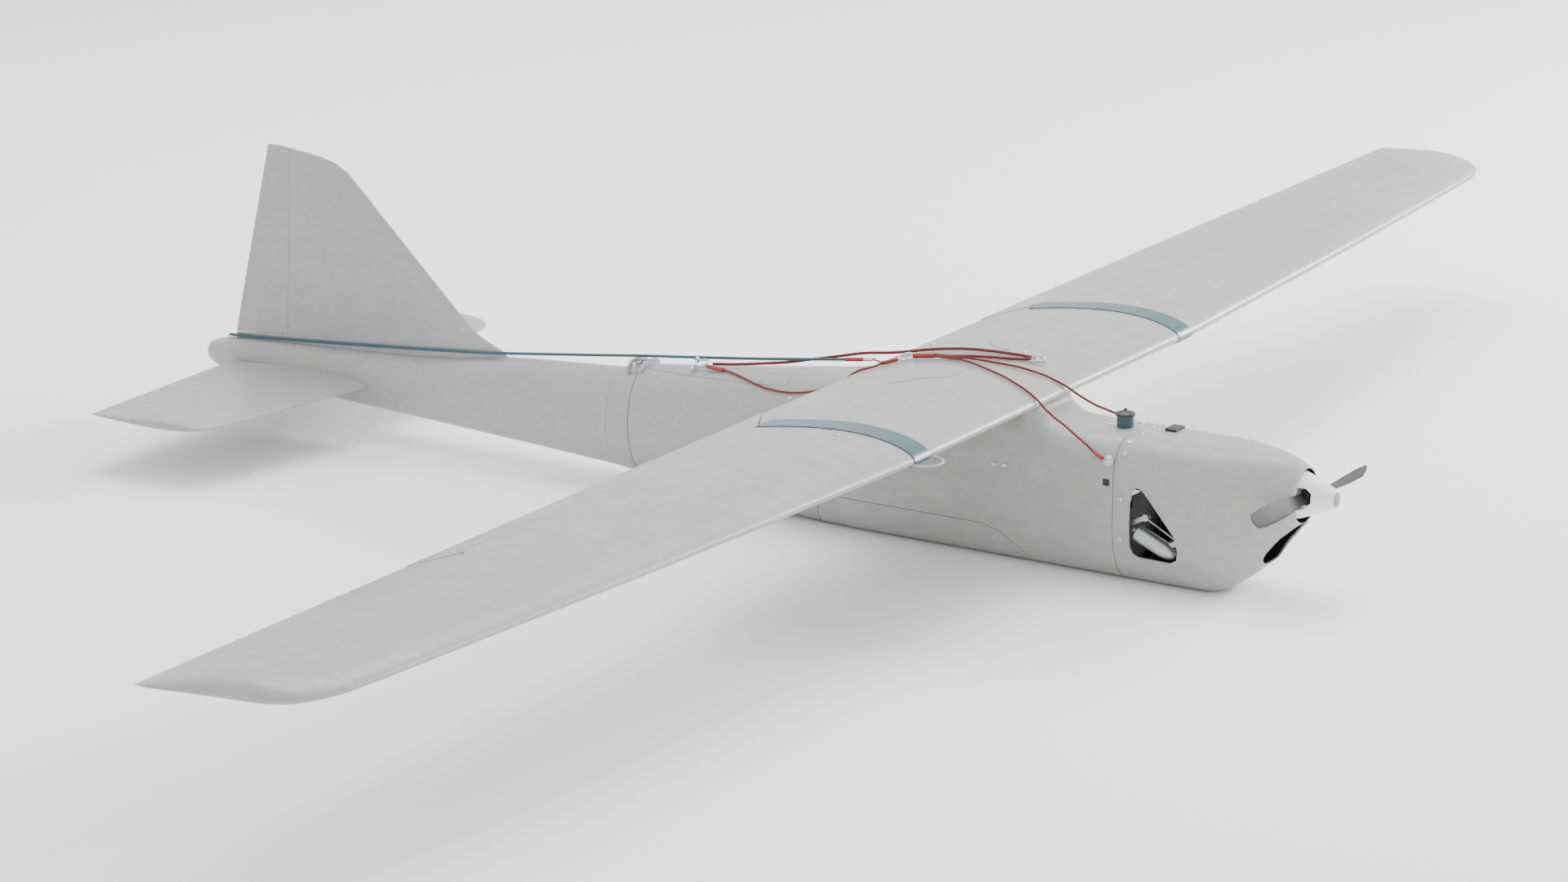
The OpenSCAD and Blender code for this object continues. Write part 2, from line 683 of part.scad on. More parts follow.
prop_turn = -1.9;
blade_stations = [[10, 14, 0, 48], [32, 16, 0, 46], [52, 19, 0, 42], [80, 24, 0, 36],
    [108, 26, 0, 31], [132, 25, 0, 27], [148, 22, 0, 25],
    [prop_r - 7, 20, -1, 24.5], [prop_r, 12, -5, 24]];
module blade() {
    skin([for (q = blade_stations) let (pts = foil(q[1] * 0.45 + q[2], q[1], 0.12, 0.02))
        [for (p = pts) let (c = cos(q[3]), s = sin(q[3]))
            [disc_x + p[0] * s - p[1] * c, q[0], p[0] * c + p[1] * s]]]);
}
module on_shaft() {
    translate([0, 0, shaft_z]) rotate([prop_turn, 0, 0]) children();
}
module propeller() {
    color(dark_rubber) on_shaft() difference() {
        union() {
            blade();
            rotate([180, 0, 0]) blade();
            translate([disc_x - 9, 0, 0]) rotate([0, 90, 0]) cylinder(h = 18, r = 13, $fn = 48);
        }
        translate([disc_x - 20, 0, 0]) rotate([0, 90, 0]) cylinder(h = 40, r = shaft_r, $fn = 48);
    }
}
module prop_shaft() {
    color(bright_steel) on_shaft() {
        translate([crank_x[0] + 62, 0, 0]) rotate([0, 90, 0]) cylinder(h = 108, r = shaft_r, $fn = 48);
        translate([disc_x - 15.5, 0, 0]) rotate([0, 90, 0]) cylinder(h = 6.3, r = 11, $fn = 48);
        translate([disc_x + 9.2, 0, 0]) rotate([0, 90, 0]) cylinder(h = 6, r = 9, $fn = 6);
    }
}
spinner_x = [628, 680];
spinner_r = [31.5, 12];
module spinner() {
    color("white") on_shaft() difference() {
        translate([spinner_x[0], 0, 0]) rotate([0, 90, 0]) rotate_extrude($fn = 96) polygon([
            [spinner_r[0], 0], [spinner_r[0], 3], [spinner_r[1] + 0.4, 51], [spinner_r[1] - 0.4, 52],
            [spinner_r[1] - 2, 52], [spinner_r[1] - 2, 44], [24.5, 6], [11.5, 3], [11.5, 0]]);
        for (s = [0, 180]) rotate([s, 0, 0]) translate([disc_x - 9.5, 8, 0]) rotate([-90, 0, 0])
            linear_extrude(40) polygon([[0, -15], [10, -13], [19.5, -4], [19.5, 8], [12, 14], [0, 15]]);
        translate([disc_x - 10, 0, 0]) rotate([0, 90, 0]) cylinder(h = 20, r = 13.4, $fn = 48);
    }
}

filler_x = 376;
neck_r = 11;
neck_top = deck_z + 15;
module fuel_tank() {
    color("ivory") difference() {
        body_loft([[304, 38, 168, 44, 16, 16, 16, 16], [310, 32, 172, 50, 18, 18, 18, 18],
            [379, 32, 172, 50, 18, 18, 18, 18], [385, 38, 168, 44, 16, 16, 16, 16]], 0);
        translate([filler_x, 0, 160]) cylinder(h = 40, r = 8.5, $fn = 40);
    }
}
module filler_neck() {
    color(band_teal) translate([filler_x, 0, 172]) difference() {
        cylinder(h = neck_top - 172, r = neck_r, $fn = 48);
        translate([0, 0, -1]) cylinder(h = 60, r = 8.5, $fn = 40);
    }
}
module filler_cap() {
    color("dimgray") translate([filler_x, 0, neck_top + 0.2]) rotate_extrude($fn = 64) polygon([
        [0, -6], [8.44, -6], [8.44, 0], [13, 0], [13, 2.6], [12.4, 3.2], [3, 6.6], [1.8, 9], [0, 9.4]]);
}
module equipment_tray() {
    color("burlywood") translate([-30, -62, 58]) cube([270, 124, 3]);
}
module flight_battery() {
    color("steelblue") translate([70, -30, 61.1]) cube([140, 60, 48]);
}
module autopilot_box() {
    color("dimgray") {
        translate([-20, -36, 61.1]) cube([72, 72, 30]);
        translate([-8, -20, 91.1]) cube([16, 14, 6]);
        translate([-8, 6, 91.1]) cube([16, 14, 6]);
    }
}
module parachute_pack() {
    color("olive") body_loft([[-338, 40, 136, 26, 20, 20, 20, 20], [-326, 34, 142, 34, 26, 30, 26, 30],
        [-190, 34, 148, 40, 28, 30, 28, 30], [-178, 40, 142, 32, 20, 20, 20, 20]], 0);
}

// ---- places on the skins ----

// The section of a loft at a place x along it
function section_at(stations, x) = [for (k = [0:len(stations) - 2])
    let (a = stations[k], b = stations[k + 1], f = (x - a[0]) / (b[0] - a[0]))
    if (f >= 0 && f <= 1) a + f * (b - a)][0];
// [distance from the middle plane, height, lean of the outward normal above level]
function on_side(r, z) = let (zt = r[2] - r[7], zb = r[1] + r[5])
    z > zt ? let (v = (z - zt) / r[7], u = sqrt(1 - v * v))
        [r[3] - r[6] + r[6] * u, z, atan2(v / r[7], u / r[6])]
    : z < zb ? let (v = (zb - z) / r[5], u = sqrt(1 - v * v))
        [r[3] - r[4] + r[4] * u, z, -atan2(v / r[5], u / r[4])]
    : [r[3], z, 0];
function on_deck(r, y) = let (u = max(0, (y - r[3] + r[6]) / r[6]), v = sqrt(1 - u * u))
    [y, r[2] - r[7] + r[7] * v, atan2(v / r[7], u / r[6])];
// Stands its children up on a skin: x along the body, side 1 for left and -1 for right
module standing(x, place, side) {
    translate([x, side * place[0], place[1]]) rotate([side * (place[2] - 90), 0, 0]) children();
}
function wing_top(x) = wing_z
    + foil_at(sqrt(1 - x / wing_chord), wing_chord, wing_chord, wing_t, wing_camber)[1];
module on_wing(x, y) {
    lean = atan2(wing_top(x - 3) - wing_top(x + 3), 6);
    translate([x, y, wing_top(x)]) rotate([0, lean, 0]) children();
}

// ---- screws ----

screw_head_r = 3.4;
screw_head_h = 1.5;
screw_shank_r = 1.3;
module screw(r, h) {
    difference() {
        rotate_extrude($fn = 40) polygon([[0, -6], [screw_shank_r, -6], [screw_shank_r, 0.02], [r, 0.02],
            [r, h * 0.4], [r * 0.8, h * 0.8], [r * 0.45, h], [0, h]]);
        for (g = [0, 90]) rotate([0, 0, g]) translate([-r * 0.62, -0.45, h - 0.8]) cube([r * 1.24, 0.9, 2]);
    }
}
cowl_side_screws = [[408, 174], [408, 116.5], [408, 62.5], [407, 12]];
cowl_deck_screws = [[407, 16], [407, 46]];
body_side_screws = [[221.4, 135.4], [237.2, 135.4], [-99, 174]];
hatch_screws = [[217, 31], [-43, 41]];
filler_screws = [[354, 2], [386, 27]];
wing_screws = [[178, 83], [16, 119], [178, 305], [179, 390]];
anchor_x = 389;
anchor_height = 164;
module anchored(side) {
    standing(anchor_x, on_side(section_at(body_stations, anchor_x), anchor_height), side) children();
}
module screws() {
    color(bright_steel) {
        for (s = [-1, 1]) {
            for (q = cowl_side_screws) standing(q[0], on_side(section_at(cowl_stations, q[0]), q[1]), s)
                screw(screw_head_r, screw_head_h);
            for (q = cowl_deck_screws) standing(q[0], on_deck(section_at(cowl_stations, q[0]), q[1]), s)
                screw(screw_head_r, screw_head_h);
            for (q = concat(body_side_screws, hatch_screws))
                standing(q[0], on_side(section_at(body_stations, q[0]), q[1]), s)
                    screw(screw_head_r, screw_head_h);
            for (q = wing_screws) on_wing(q[0], s * q[1]) screw(screw_head_r, screw_head_h);
            anchored(s) {
                translate([0, 0, 3.2]) screw(4.9, 2.2);
                difference() {
                    cylinder(h = 3, r = 7.3, $fn = 48);
                    translate([0, 0, -1]) cylinder(h = 5, r = screw_shank_r + 0.1, $fn = 32);
                }
            }
        }
        for (q = filler_screws) standing(q[0], on_deck(section_at(body_stations, q[0]), q[1]), 1)
            screw(screw_head_r, screw_head_h);
    }
}

// ---- small fittings on the skins ----

patch_at = [438, 20];
module antenna_patch() {
    color(dark_rubber) difference() {
        standing(patch_at[0], on_deck(section_at(cowl_stations, patch_at[0]), patch_at[1]), 1)
            translate([-8, -12.5, -3]) cube([16, 25, 6.2]);
        body_loft(cowl_stations, 0);
    }
}
port_at = [387.4, 136.2];
module side_port() {
    color(dark_rubber) difference() {
        standing(port_at[0], on_side(section_at(body_stations, port_at[0]), port_at[1]), -1)
            translate([-4.5, -4.5, -2]) cube([9, 9, 2.8]);
        body_loft(body_stations, 0);
    }
}

// ---- latch over the tail's joint ----

latch_x = -371;
latch_half_l = 12;
latch_half_y = 25;
latch_top = 176;
latch_pin_z = 173.3;
latch_pin_r = 1.6;
cheek_t = 3.4;
cheek_outline = [[-latch_half_y, 150], [-latch_half_y, 162], [-23, 168], [-19, 173], [-13, latch_top],
    [13, latch_top], [19, 173], [23, 168], [latch_half_y, 162], [latch_half_y, 150]];
tongue_outline = [[-22, 150], [-22, 165.5], [-8, 171.4], [8, 171.4], [22, 165.5], [22, 150]];
module across(outline, x, depth) {
    translate([x, 0, 0]) rotate([90, 0, 90]) linear_extrude(depth) polygon(outline);
}
module joint_skins() {
    body_loft(collar_stations, 0);
    body_loft([body_stations[0], body_stations[1]], 0);
    translate([-367, -100, 0]) cube([2, 200, 160]);
}
module latch_bracket() {
    color(airframe_grey) difference() {
        union() {
            across(cheek_outline, latch_x - latch_half_l, cheek_t);
            across(cheek_outline, latch_x + latch_half_l - cheek_t, cheek_t);
        }
        joint_skins();
    }
}
module latch_tongue() {
    color(airframe_grey) difference() {
        union() {
            across(tongue_outline, latch_x - latch_half_l + cheek_t + 0.1,
                2 * (latch_half_l - cheek_t - 0.1));
            translate([latch_x - 4, -5, 170]) cube([8, 10, latch_top - 170]);
        }
        joint_skins();
        translate([latch_x, -10, latch_pin_z]) rotate([-90, 0, 0])
            cylinder(h = 20, r = latch_pin_r + 0.05, $fn = 32);
    }
}
module latch_pin() {
    color(bright_steel) translate([latch_x, -20, latch_pin_z]) rotate([-90, 0, 0]) {
        cylinder(h = 30, r = latch_pin_r, $fn = 32);
        translate([-2.5, -1.9, -3]) cube([5, 6, 3.1]);
    }
}

// ---- bridle: fittings, sleeves and cords ----

thin_d = 3;
strap_d = 4;
tail_cord_d = 4;
// A ring of wire lying in the XY plane, only the half with x > 0 where half is true
module wire_ring(ring_r, wire, half) {
    intersection() {
        rotate_extrude($fn = 56) translate([ring_r, 0]) circle(r = wire, $fn = 20);
        translate([half ? 0 : -50, -50, -10]) cube([half ? 50 : 100, 100, 20]);
    }
}
module shackle() {
    wire_ring(7, 1.8, true);
    for (s = [-1, 1]) {
        translate([-9, s * 7, 0]) rotate([0, 90, 0]) cylinder(h = 9.4, r = 1.8 - leg_slack, $fn = 24);
        translate([-11.5, s * 7 - 2, 0]) rotate([-90, 0, 0]) cylinder(h = 4, r = 3.6, $fn = 32);
    }
    translate([-11.5, -12, 0]) rotate([-90, 0, 0]) cylinder(h = 22, r = 1.7, $fn = 24);
    translate([-11.5, -14, 0]) rotate([-90, 0, 0]) cylinder(h = 2.5, r = 3.2, $fn = 32);
}
module d_ring() {
    rotate([0, -90, 0]) wire_ring(8.5, 1.3, true);
    translate([0, -10.3, 0]) rotate([-90, 0, 0]) cylinder(h = 20.6, r = 1.6, $fn = 24);
}
module carabiner() {
    wire_ring(5, 1.4, true);
    mirror([1, 0, 0]) translate([8, 0, 0]) wire_ring(5, 1.4, true);
    for (s = [-1, 1]) translate([-8.4, s * 5, 0]) rotate([0, 90, 0])
        cylinder(h = 8.8, r = 1.4 - leg_slack, $fn = 24);
}
// Puts its children at a, turned so that their X axis points to b
module aimed(a, b) {
    d = b - a;
    translate(a) rotate([0, -asin(d[2] / norm(d)), atan2(d[1], d[0])]) children();
}
module sleeve(a, b, r) {
    aimed(a, b) rotate([0, 90, 0]) cylinder(h = norm(b - a), r = r, $fn = 32);
}
rear_sleeve = [[-256, -17, 185.2], [-228, -20, 184.9]];
link_sleeve = [[18, -14, 228.4], [31, 3, 231.6]];
front_sleeve = [[48, 17, 235.6], [83, 15, 241.6]];
tail_sleeve = [[-47, 0, 221], [-19, 0, 225]];
crimp = [[-18.8, 0, 225], [-4, 1, 227]];
right_end = [[366, -67.5, 173.5], [381, -69.5, 166.5]];
left_end = [[366, 67.5, 173.5], [381, 69.5, 166.5]];
tail_eye = [-1086, 0, 108];

// Ring of eight points round the cord at point k of its route
cord_sides = 8;
function along(route, k) = let (d = route[min(k + 1, len(route) - 1)] - route[max(k - 1, 0)])
    d / norm(d);
function cord_ring(route, k, d) =
    let (t = along(route, k), c = cross([0, 0, 1], t), u = c / norm(c), v = cross(t, u))
    [for (i = [0:cord_sides - 1]) let (g = 360 * i / cord_sides)
        route[k] + d / 2 * (cos(g) * u + sin(g) * v)];
module cord(route, d) {
    skin([for (k = [0:len(route) - 1]) cord_ring(route, k, d)]);
}

rear_route = [[-228, -20, 184.9], [-205, -27, 184.2], [-175, -38.5, 181.4], [-150, -45.5, 178.5],
    [-125, -51.5, 178.5], [-100, -56, 180.5], [-72, -60, 186], [-52, -59, 192], [-35, -55, 199.5],
    [-19, -50, 208.5], [-7, -46.5, 218], [1, -43, 223], [8, -36, 225], [14, -25, 226.5], [18, -14, 228.4]];
right_route = [[83, 13.5, 241.3], [102, 10, 242.5], [125, 4, 245], [150, -7, 246.5], [183, -25, 247.2],
    [216, -40, 245.6], [236, -48.5, 242.6], [254, -54.5, 238.4], [269, -58, 232.6], [280, -59, 225.5],
    [291, -60, 216.5], [306, -61.5, 207.5], [323, -63, 199], [339, -64.5, 189.5], [355, -66, 180.5],
    [366, -67.5, 173.5]];
left_route = [[83, 15.5, 241.6], [107, 14.5, 243.3], [136, 12.5, 246], [173, 8, 247.2], [208, 8, 246.4],
    [232, 8.5, 243.6], [252, 10.5, 239.2], [267, 13.5, 233.5], [280, 19, 226], [290, 25, 217.5],
    [301, 32, 209], [312, 39, 201.5], [323, 47, 195.5], [336, 55.5, 189], [352, 63, 181.5],
    [366, 67.5, 173.5]];
upper_route = [[-252, -9, 187.5], [-217, -7, 191.5], [-178, -4, 197.5], [-140, 1, 203.6],
    [-104, 9, 211.2], [-66, 20, 218.8], [-36, 33, 224], [0, 50, 226], [41, 64, 232.5],
    [72, 65, 238], [105, 64.5, 242.4], [145, 59.5, 246.2], [182, 56.5, 247.6], [211, 53.5, 248]];
lower_route = [[83, 17, 242], [103, 20, 242.6], [129, 24, 245.4], [162, 29, 247.2], [192, 37, 247.4],
    [211, 48, 247.6]];
tail_route = [[-1084, 3.5, 110], [-1087, 0, 110.5], [-1083, -3.5, 111], [-1060, -4.5, 112.8],
    [-1020, -5.8, 115.8], [-985, -6.6, 118.6], [-940, -8, 122.4], [-880, -9.4, 127.6],
    [-800, -10.6, 134.4], [-720, -11, 141.4], [-660, -10.4, 146.8], [-615, -7.4, 150.8], [-575, -3.6, 154.6], [-520, -1, 161], [-450, 0, 169.6],
    [-371, 0, 179.9], [-310, 0, 187], [-262, 0, 192.8], [-190, 0, 201.6], [-120, 0, 211], [-47, 0, 221]];
module rear_leg() { color(cord_red) cord(rear_route, thin_d); }
module front_leg_right() { color(cord_red) cord(right_route, thin_d); }
module front_leg_left() { color(cord_red) cord(left_route, thin_d); }
module upper_strap() { color(cord_red) cord(upper_route, strap_d); }
module lower_strap() { color(cord_red) cord(lower_route, strap_d); }
module tail_cord() { color(cord_teal) cord(tail_route, tail_cord_d); }

module bridle_hardware() {
    color(bright_steel) {
        translate([-268, -10, 187]) rotate([24, -8, 4]) shackle();
        translate([221, 45, 246.2]) rotate([0, 0, -68]) d_ring();
        translate([43, 13.5, 235.5]) rotate([35, -9, 36]) carabiner();
        sleeve(crimp[0], crimp[1], 2.4);
        translate(tail_eye) rotate([90, 0, 20]) wire_ring(4, 1, false);
    }
}
module bridle_sleeves() {
    color(cord_red) {
        sleeve(rear_sleeve[0], rear_sleeve[1], 2.8);
        sleeve(link_sleeve[0], link_sleeve[1], 2.8);
        sleeve(front_sleeve[0], front_sleeve[1], 3.4);
        sleeve(tail_sleeve[0], tail_sleeve[1], 2.7);
        sleeve([-3.8, 1, 227.1], [17.6, -13.6, 228.4], 1.4);
        sleeve(right_end[0], right_end[1], 2.4);
        sleeve(left_end[0], left_end[1], 2.4);
    }
}

fuselage_shell();
nose_cowl();
belly_hatch();
parachute_hatch();
joint_collar();
tail_boom();
latch_bracket();
latch_tongue();
latch_pin();
firewall();
engine_mount();
crankcase();
engine_cylinder();
spark_plug();
carburettor();
muffler();
throttle_linkage();
prop_shaft();
propeller();
spinner();
fuel_tank();
filler_neck();
filler_cap();
equipment_tray();
flight_battery();
autopilot_box();
parachute_pack();
antenna_patch();
side_port();
wing_centre();
outer_wing_left();
outer_wing_right();
spar_tubes();
wing_bands();
lifting_loop();
aileron_left();
aileron_right();
aileron_servos();
servo_arm_left();
servo_arm_right();
pushrod_left();
pushrod_right();
stabiliser();
elevator();
elevator_pushrod();
elevator_servo_arm();
fin();
rudder();
rudder_pushrod();
rudder_servo_arm();
tail_servos();
screws();
bridle_hardware();
bridle_sleeves();
front_leg_right();
front_leg_left();
rear_leg();
upper_strap();
lower_strap();
tail_cord();
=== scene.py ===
# %% [markdown]
# # A fixed-wing drone, dressed on its frame
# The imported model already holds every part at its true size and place. This lesson lays smooth
# skins, cords and finishes over it. Nothing here changes a dimension: a skin follows the same
# stations as the moulded shell that it stands for.

# %% Load the frame
import json
import math

import bmesh
import bpy
import numpy as np
from mathutils import Matrix, Vector

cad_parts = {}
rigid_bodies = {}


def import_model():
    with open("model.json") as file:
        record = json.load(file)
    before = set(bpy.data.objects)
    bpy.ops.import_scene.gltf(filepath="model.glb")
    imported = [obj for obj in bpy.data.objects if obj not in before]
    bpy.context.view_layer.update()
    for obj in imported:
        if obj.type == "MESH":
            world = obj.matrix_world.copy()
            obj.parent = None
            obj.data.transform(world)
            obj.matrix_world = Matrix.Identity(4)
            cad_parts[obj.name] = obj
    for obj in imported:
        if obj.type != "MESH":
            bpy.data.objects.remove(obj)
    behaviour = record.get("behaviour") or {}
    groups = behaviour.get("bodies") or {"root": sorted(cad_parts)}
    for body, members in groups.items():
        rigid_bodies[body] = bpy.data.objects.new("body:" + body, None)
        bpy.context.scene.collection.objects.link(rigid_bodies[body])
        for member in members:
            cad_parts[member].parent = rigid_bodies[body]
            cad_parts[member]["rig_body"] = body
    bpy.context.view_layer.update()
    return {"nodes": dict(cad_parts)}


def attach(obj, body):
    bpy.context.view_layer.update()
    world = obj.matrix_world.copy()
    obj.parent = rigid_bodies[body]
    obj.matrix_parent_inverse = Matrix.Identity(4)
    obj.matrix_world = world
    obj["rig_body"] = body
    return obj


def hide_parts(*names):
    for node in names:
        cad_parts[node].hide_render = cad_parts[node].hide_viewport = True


for start_object in list(bpy.data.objects):
    bpy.data.objects.remove(start_object)
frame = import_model()
cad = frame["nodes"]
mm = 0.001
print("parts in the frame:", len(cad))

# %% [markdown]
# ## Camera, floor and lamps
# The camera stands to the right of the nose and a little above the wing, far off with a long
# lens, so that the span is hardly foreshortened. The floor is pale and plain. Large area lamps
# act as soft boxes: a gel coat shows its quality only where something broad reflects in it.

# %% Camera
camera_data = bpy.data.cameras.new("camera")
camera_data.lens = 114.67
camera_data.sensor_width = 36
camera_data.clip_end = 100
camera = bpy.data.objects.new("camera", camera_data)
camera.location = (3.295, -5.496, 1.956)
camera_turn, camera_tilt = math.radians(32.037), math.radians(16.032)
camera.rotation_euler = (math.pi / 2 - camera_tilt, 0, camera_turn)
bpy.context.scene.collection.objects.link(camera)
bpy.context.scene.camera = camera

# %% Lamps and sky
def soft_box(name, place, aim, width, height, watts):
    data = bpy.data.lights.new(name, "AREA")
    data.shape = "RECTANGLE"
    data.size, data.size_y, data.energy = width, height, watts
    lamp = bpy.data.objects.new(name, data)
    lamp.location = place
    lamp.rotation_euler = (Vector(aim) - Vector(place)).to_track_quat("-Z", "Y").to_euler()
    bpy.context.scene.collection.objects.link(lamp)

soft_box("overhead", (-0.8, 1.2, 4.4), (0, 0, 0.2), 3.5, 3.0, 170)
soft_box("far_side", (2.4, 4.4, 2.0), (0.2, -0.6, 0.2), 2.8, 0.6, 330)
soft_box("far_nose", (4.4, 2.2, 1.2), (0.3, -0.3, 0.2), 1.6, 0.5, 45)
sky = bpy.data.worlds.new("studio_white")
bpy.context.scene.world = sky
sky.use_nodes = True
sky.node_tree.nodes["Background"].inputs["Color"].default_value = (1, 1, 1, 1)
sky.node_tree.nodes["Background"].inputs["Strength"].default_value = 1.5

# %% [markdown]
# ## Cords first
# A parachute bridle lies over the wing: three thin red legs, two red straps and a teal line
# back to the fin. Each is a braided line with a fixed length, held at both ends by a sleeve or
# a ring. The route is a handful of points; a Catmull-Rom curve turns it into one smooth line,
# and a tube with a UV map along it gives the braid something to follow.

# %% Routes of the cords
rear_route = [[-228, -20, 184.9], [-205, -27, 184.2], [-175, -38.5, 181.4], [-150, -45.5, 178.5],
    [-125, -51.5, 178.5], [-100, -56, 180.5], [-72, -60, 186], [-52, -59, 192], [-35, -55, 199.5],
    [-19, -50, 208.5], [-7, -46.5, 218], [1, -43, 223], [8, -36, 225], [14, -25, 226.5],
    [18, -14, 228.4]]
right_route = [[83, 13.5, 241.3], [102, 10, 242.5], [125, 4, 245], [150, -7, 246.5],
    [183, -25, 247.2], [216, -40, 245.6], [236, -48.5, 242.6], [254, -54.5, 238.4],
    [269, -58, 232.6], [280, -59, 225.5], [291, -60, 216.5], [306, -61.5, 207.5], [323, -63, 199],
    [339, -64.5, 189.5], [355, -66, 180.5], [366, -67.5, 173.5]]
left_route = [[83, 15.5, 241.6], [107, 14.5, 243.3], [136, 12.5, 246], [173, 8, 247.2],
    [208, 8, 246.4], [232, 8.5, 243.6], [252, 10.5, 239.2], [267, 13.5, 233.5], [280, 19, 226],
    [290, 25, 217.5], [301, 32, 209], [312, 39, 201.5], [323, 47, 195.5], [336, 55.5, 189],
    [352, 63, 181.5], [366, 67.5, 173.5]]
upper_route = [[-252, -9, 187.5], [-217, -7, 191.5], [-178, -4, 197.5], [-140, 1, 203.6],
    [-104, 9, 211.2], [-66, 20, 218.8], [-36, 33, 224], [0, 50, 226], [41, 64, 232.5],
    [72, 65, 238], [105, 64.5, 242.4], [145, 59.5, 246.2], [182, 56.5, 247.6], [211, 53.5, 248]]
lower_route = [[83, 17, 242], [103, 20, 242.6], [129, 24, 245.4], [162, 29, 247.2],
    [192, 37, 247.4], [211, 48, 247.6]]
tail_route = [[-1084, 3.5, 110], [-1087, 0, 110.5], [-1083, -3.5, 111], [-1060, -4.5, 112.8],
    [-1020, -5.8, 115.8], [-985, -6.6, 118.6], [-940, -8, 122.4], [-880, -9.4, 127.6],
    [-800, -10.6, 134.4], [-720, -11, 141.4], [-660, -10.4, 146.8], [-615, -7.4, 150.8],
    [-575, -3.6, 154.6], [-520, -1, 161], [-450, 0, 169.6], [-371, 0, 179.9], [-310, 0, 187],
    [-262, 0, 192.8], [-190, 0, 201.6], [-120, 0, 211], [-47, 0, 221]]

# %% From route to tube
def smooth_line(route, step=0.0025):
    """Catmull-Rom points through the route, in metres, evenly spaced."""
    p = np.array(route, float) * mm
    p = np.vstack([2 * p[0] - p[1], p, 2 * p[-1] - p[-2]])
    fine = []
    for a, b, c, d in zip(p[:-3], p[1:-2], p[2:-1], p[3:]):
        for t in np.linspace(0, 1, 12, endpoint=False):
            fine.append(0.5 * (2 * b + (c - a) * t + (2 * a - 5 * b + 4 * c - d) * t * t
                               + (3 * b - a - 3 * c + d) * t ** 3))
    fine = np.vstack([fine, p[-2]])
    run = np.concatenate([[0], np.cumsum(np.linalg.norm(np.diff(fine, axis=0), axis=1))])
    even = np.linspace(0, run[-1], max(12, round(run[-1] / step)))
    return np.stack([np.interp(even, run, fine[:, k]) for k in range(3)], axis=1), run[-1]

def tube(name, line, diameter, sides=14):
    """A closed tube round the line, with u round it and v along it in metres."""
    way = np.gradient(line, axis=0)
    way /= np.linalg.norm(way, axis=1)[:, None]
    side = np.cross(way, [0, 0, 1.0])
    side /= np.linalg.norm(side, axis=1)[:, None]
    up = np.cross(side, way)
    turn = np.linspace(0, 2 * np.pi, sides, endpoint=False)
    rings = line[:, None] + diameter / 2 * (np.cos(turn)[None, :, None] * side[:, None]
                                            + np.sin(turn)[None, :, None] * up[:, None])
    count = len(line)
    faces = [(k * sides + i, k * sides + (i + 1) % sides, (k + 1) * sides + (i + 1) % sides,
              (k + 1) * sides + i) for k in range(count - 1) for i in range(sides)]
    faces += [tuple(range(sides))[::-1], tuple((count - 1) * sides + i for i in range(sides))]
    mesh = bpy.data.meshes.new(name)
    mesh.from_pydata(rings.reshape(-1, 3).tolist(), [], faces)
    uv = mesh.uv_layers.new(name="along")
    run = np.concatenate([[0], np.cumsum(np.linalg.norm(np.diff(line, axis=0), axis=1))])
    for polygon in mesh.polygons:
        last = polygon.index % sides == sides - 1 and len(polygon.vertices) == 4
        for corner, vertex in zip(polygon.loop_indices, polygon.vertices):
            k, i = divmod(vertex, sides)
            uv.data[corner].uv = ((sides if last and i == 0 else i) / sides, run[k])
    return new_piece(name, mesh)

def new_piece(name, mesh, sharp=35):
    """Smooth shading but for real edges, and faces that point outwards."""
    body = bmesh.new()
    body.from_mesh(mesh)
    bmesh.ops.recalc_face_normals(body, faces=body.faces)
    body.to_mesh(mesh)
    body.free()
    mesh.shade_smooth()
    mesh.set_sharp_from_angle(angle=math.radians(sharp))
    piece = bpy.data.objects.new(name, mesh)
    bpy.context.scene.collection.objects.link(piece)
    return piece

# %% Lay the cords
thin, strap = 0.003, 0.004
cord_plan = {
    "rear_leg": (rear_route, thin, "red_braid"), "front_leg_right": (right_route, thin, "red_braid"),
    "front_leg_left": (left_route, thin, "red_braid"), "upper_strap": (upper_route, strap, "red_braid"),
    "lower_strap": (lower_route, strap, "red_braid"), "tail_cord": (tail_route, strap, "teal_braid")}
cords = {}
for name, (route, diameter, finish_name) in cord_plan.items():
    line, length = smooth_line(route)
    cords[name] = tube(name + "_line", line, diameter)
    print(name, "is", round(length * 1000), "mm long")

# %% [markdown]
# ## Writing node trees as expressions
# A finish is arithmetic on a pattern. One small class wraps a socket so that Python's own signs
# add the Math nodes, and one method makes every other node: its settings first, then its
# sockets. The same two work for shader trees and for geometry trees.

# %% Wire and Bench
class Wire:
    def __init__(self, bench, socket):
        self.bench, self.socket = bench, socket

    def maths(self, operation, *values):
        return self.bench.make("ShaderNodeMath", {"operation": operation}, dict(enumerate(values)))[0]

    def __add__(self, other): return self.maths("ADD", self, other)
    def __radd__(self, other): return self.maths("ADD", other, self)
    def __sub__(self, other): return self.maths("SUBTRACT", self, other)
    def __rsub__(self, other): return self.maths("SUBTRACT", other, self)
    def __mul__(self, other): return self.maths("MULTIPLY", self, other)
    def __rmul__(self, other): return self.maths("MULTIPLY", other, self)
    def __truediv__(self, other): return self.maths("DIVIDE", self, other)
    def __pow__(self, other): return self.maths("POWER", self, other)
    def __gt__(self, other): return self.maths("GREATER_THAN", self, other)
    def sine(self): return self.maths("SINE", self)
    def size(self): return self.maths("ABSOLUTE", self)
    def root(self): return self.maths("SQRT", self)


class Made:
    def __init__(self, bench, node):
        self.bench, self.node = bench, node

    def __getitem__(self, key):
        return Wire(self.bench, self.node.outputs[key])


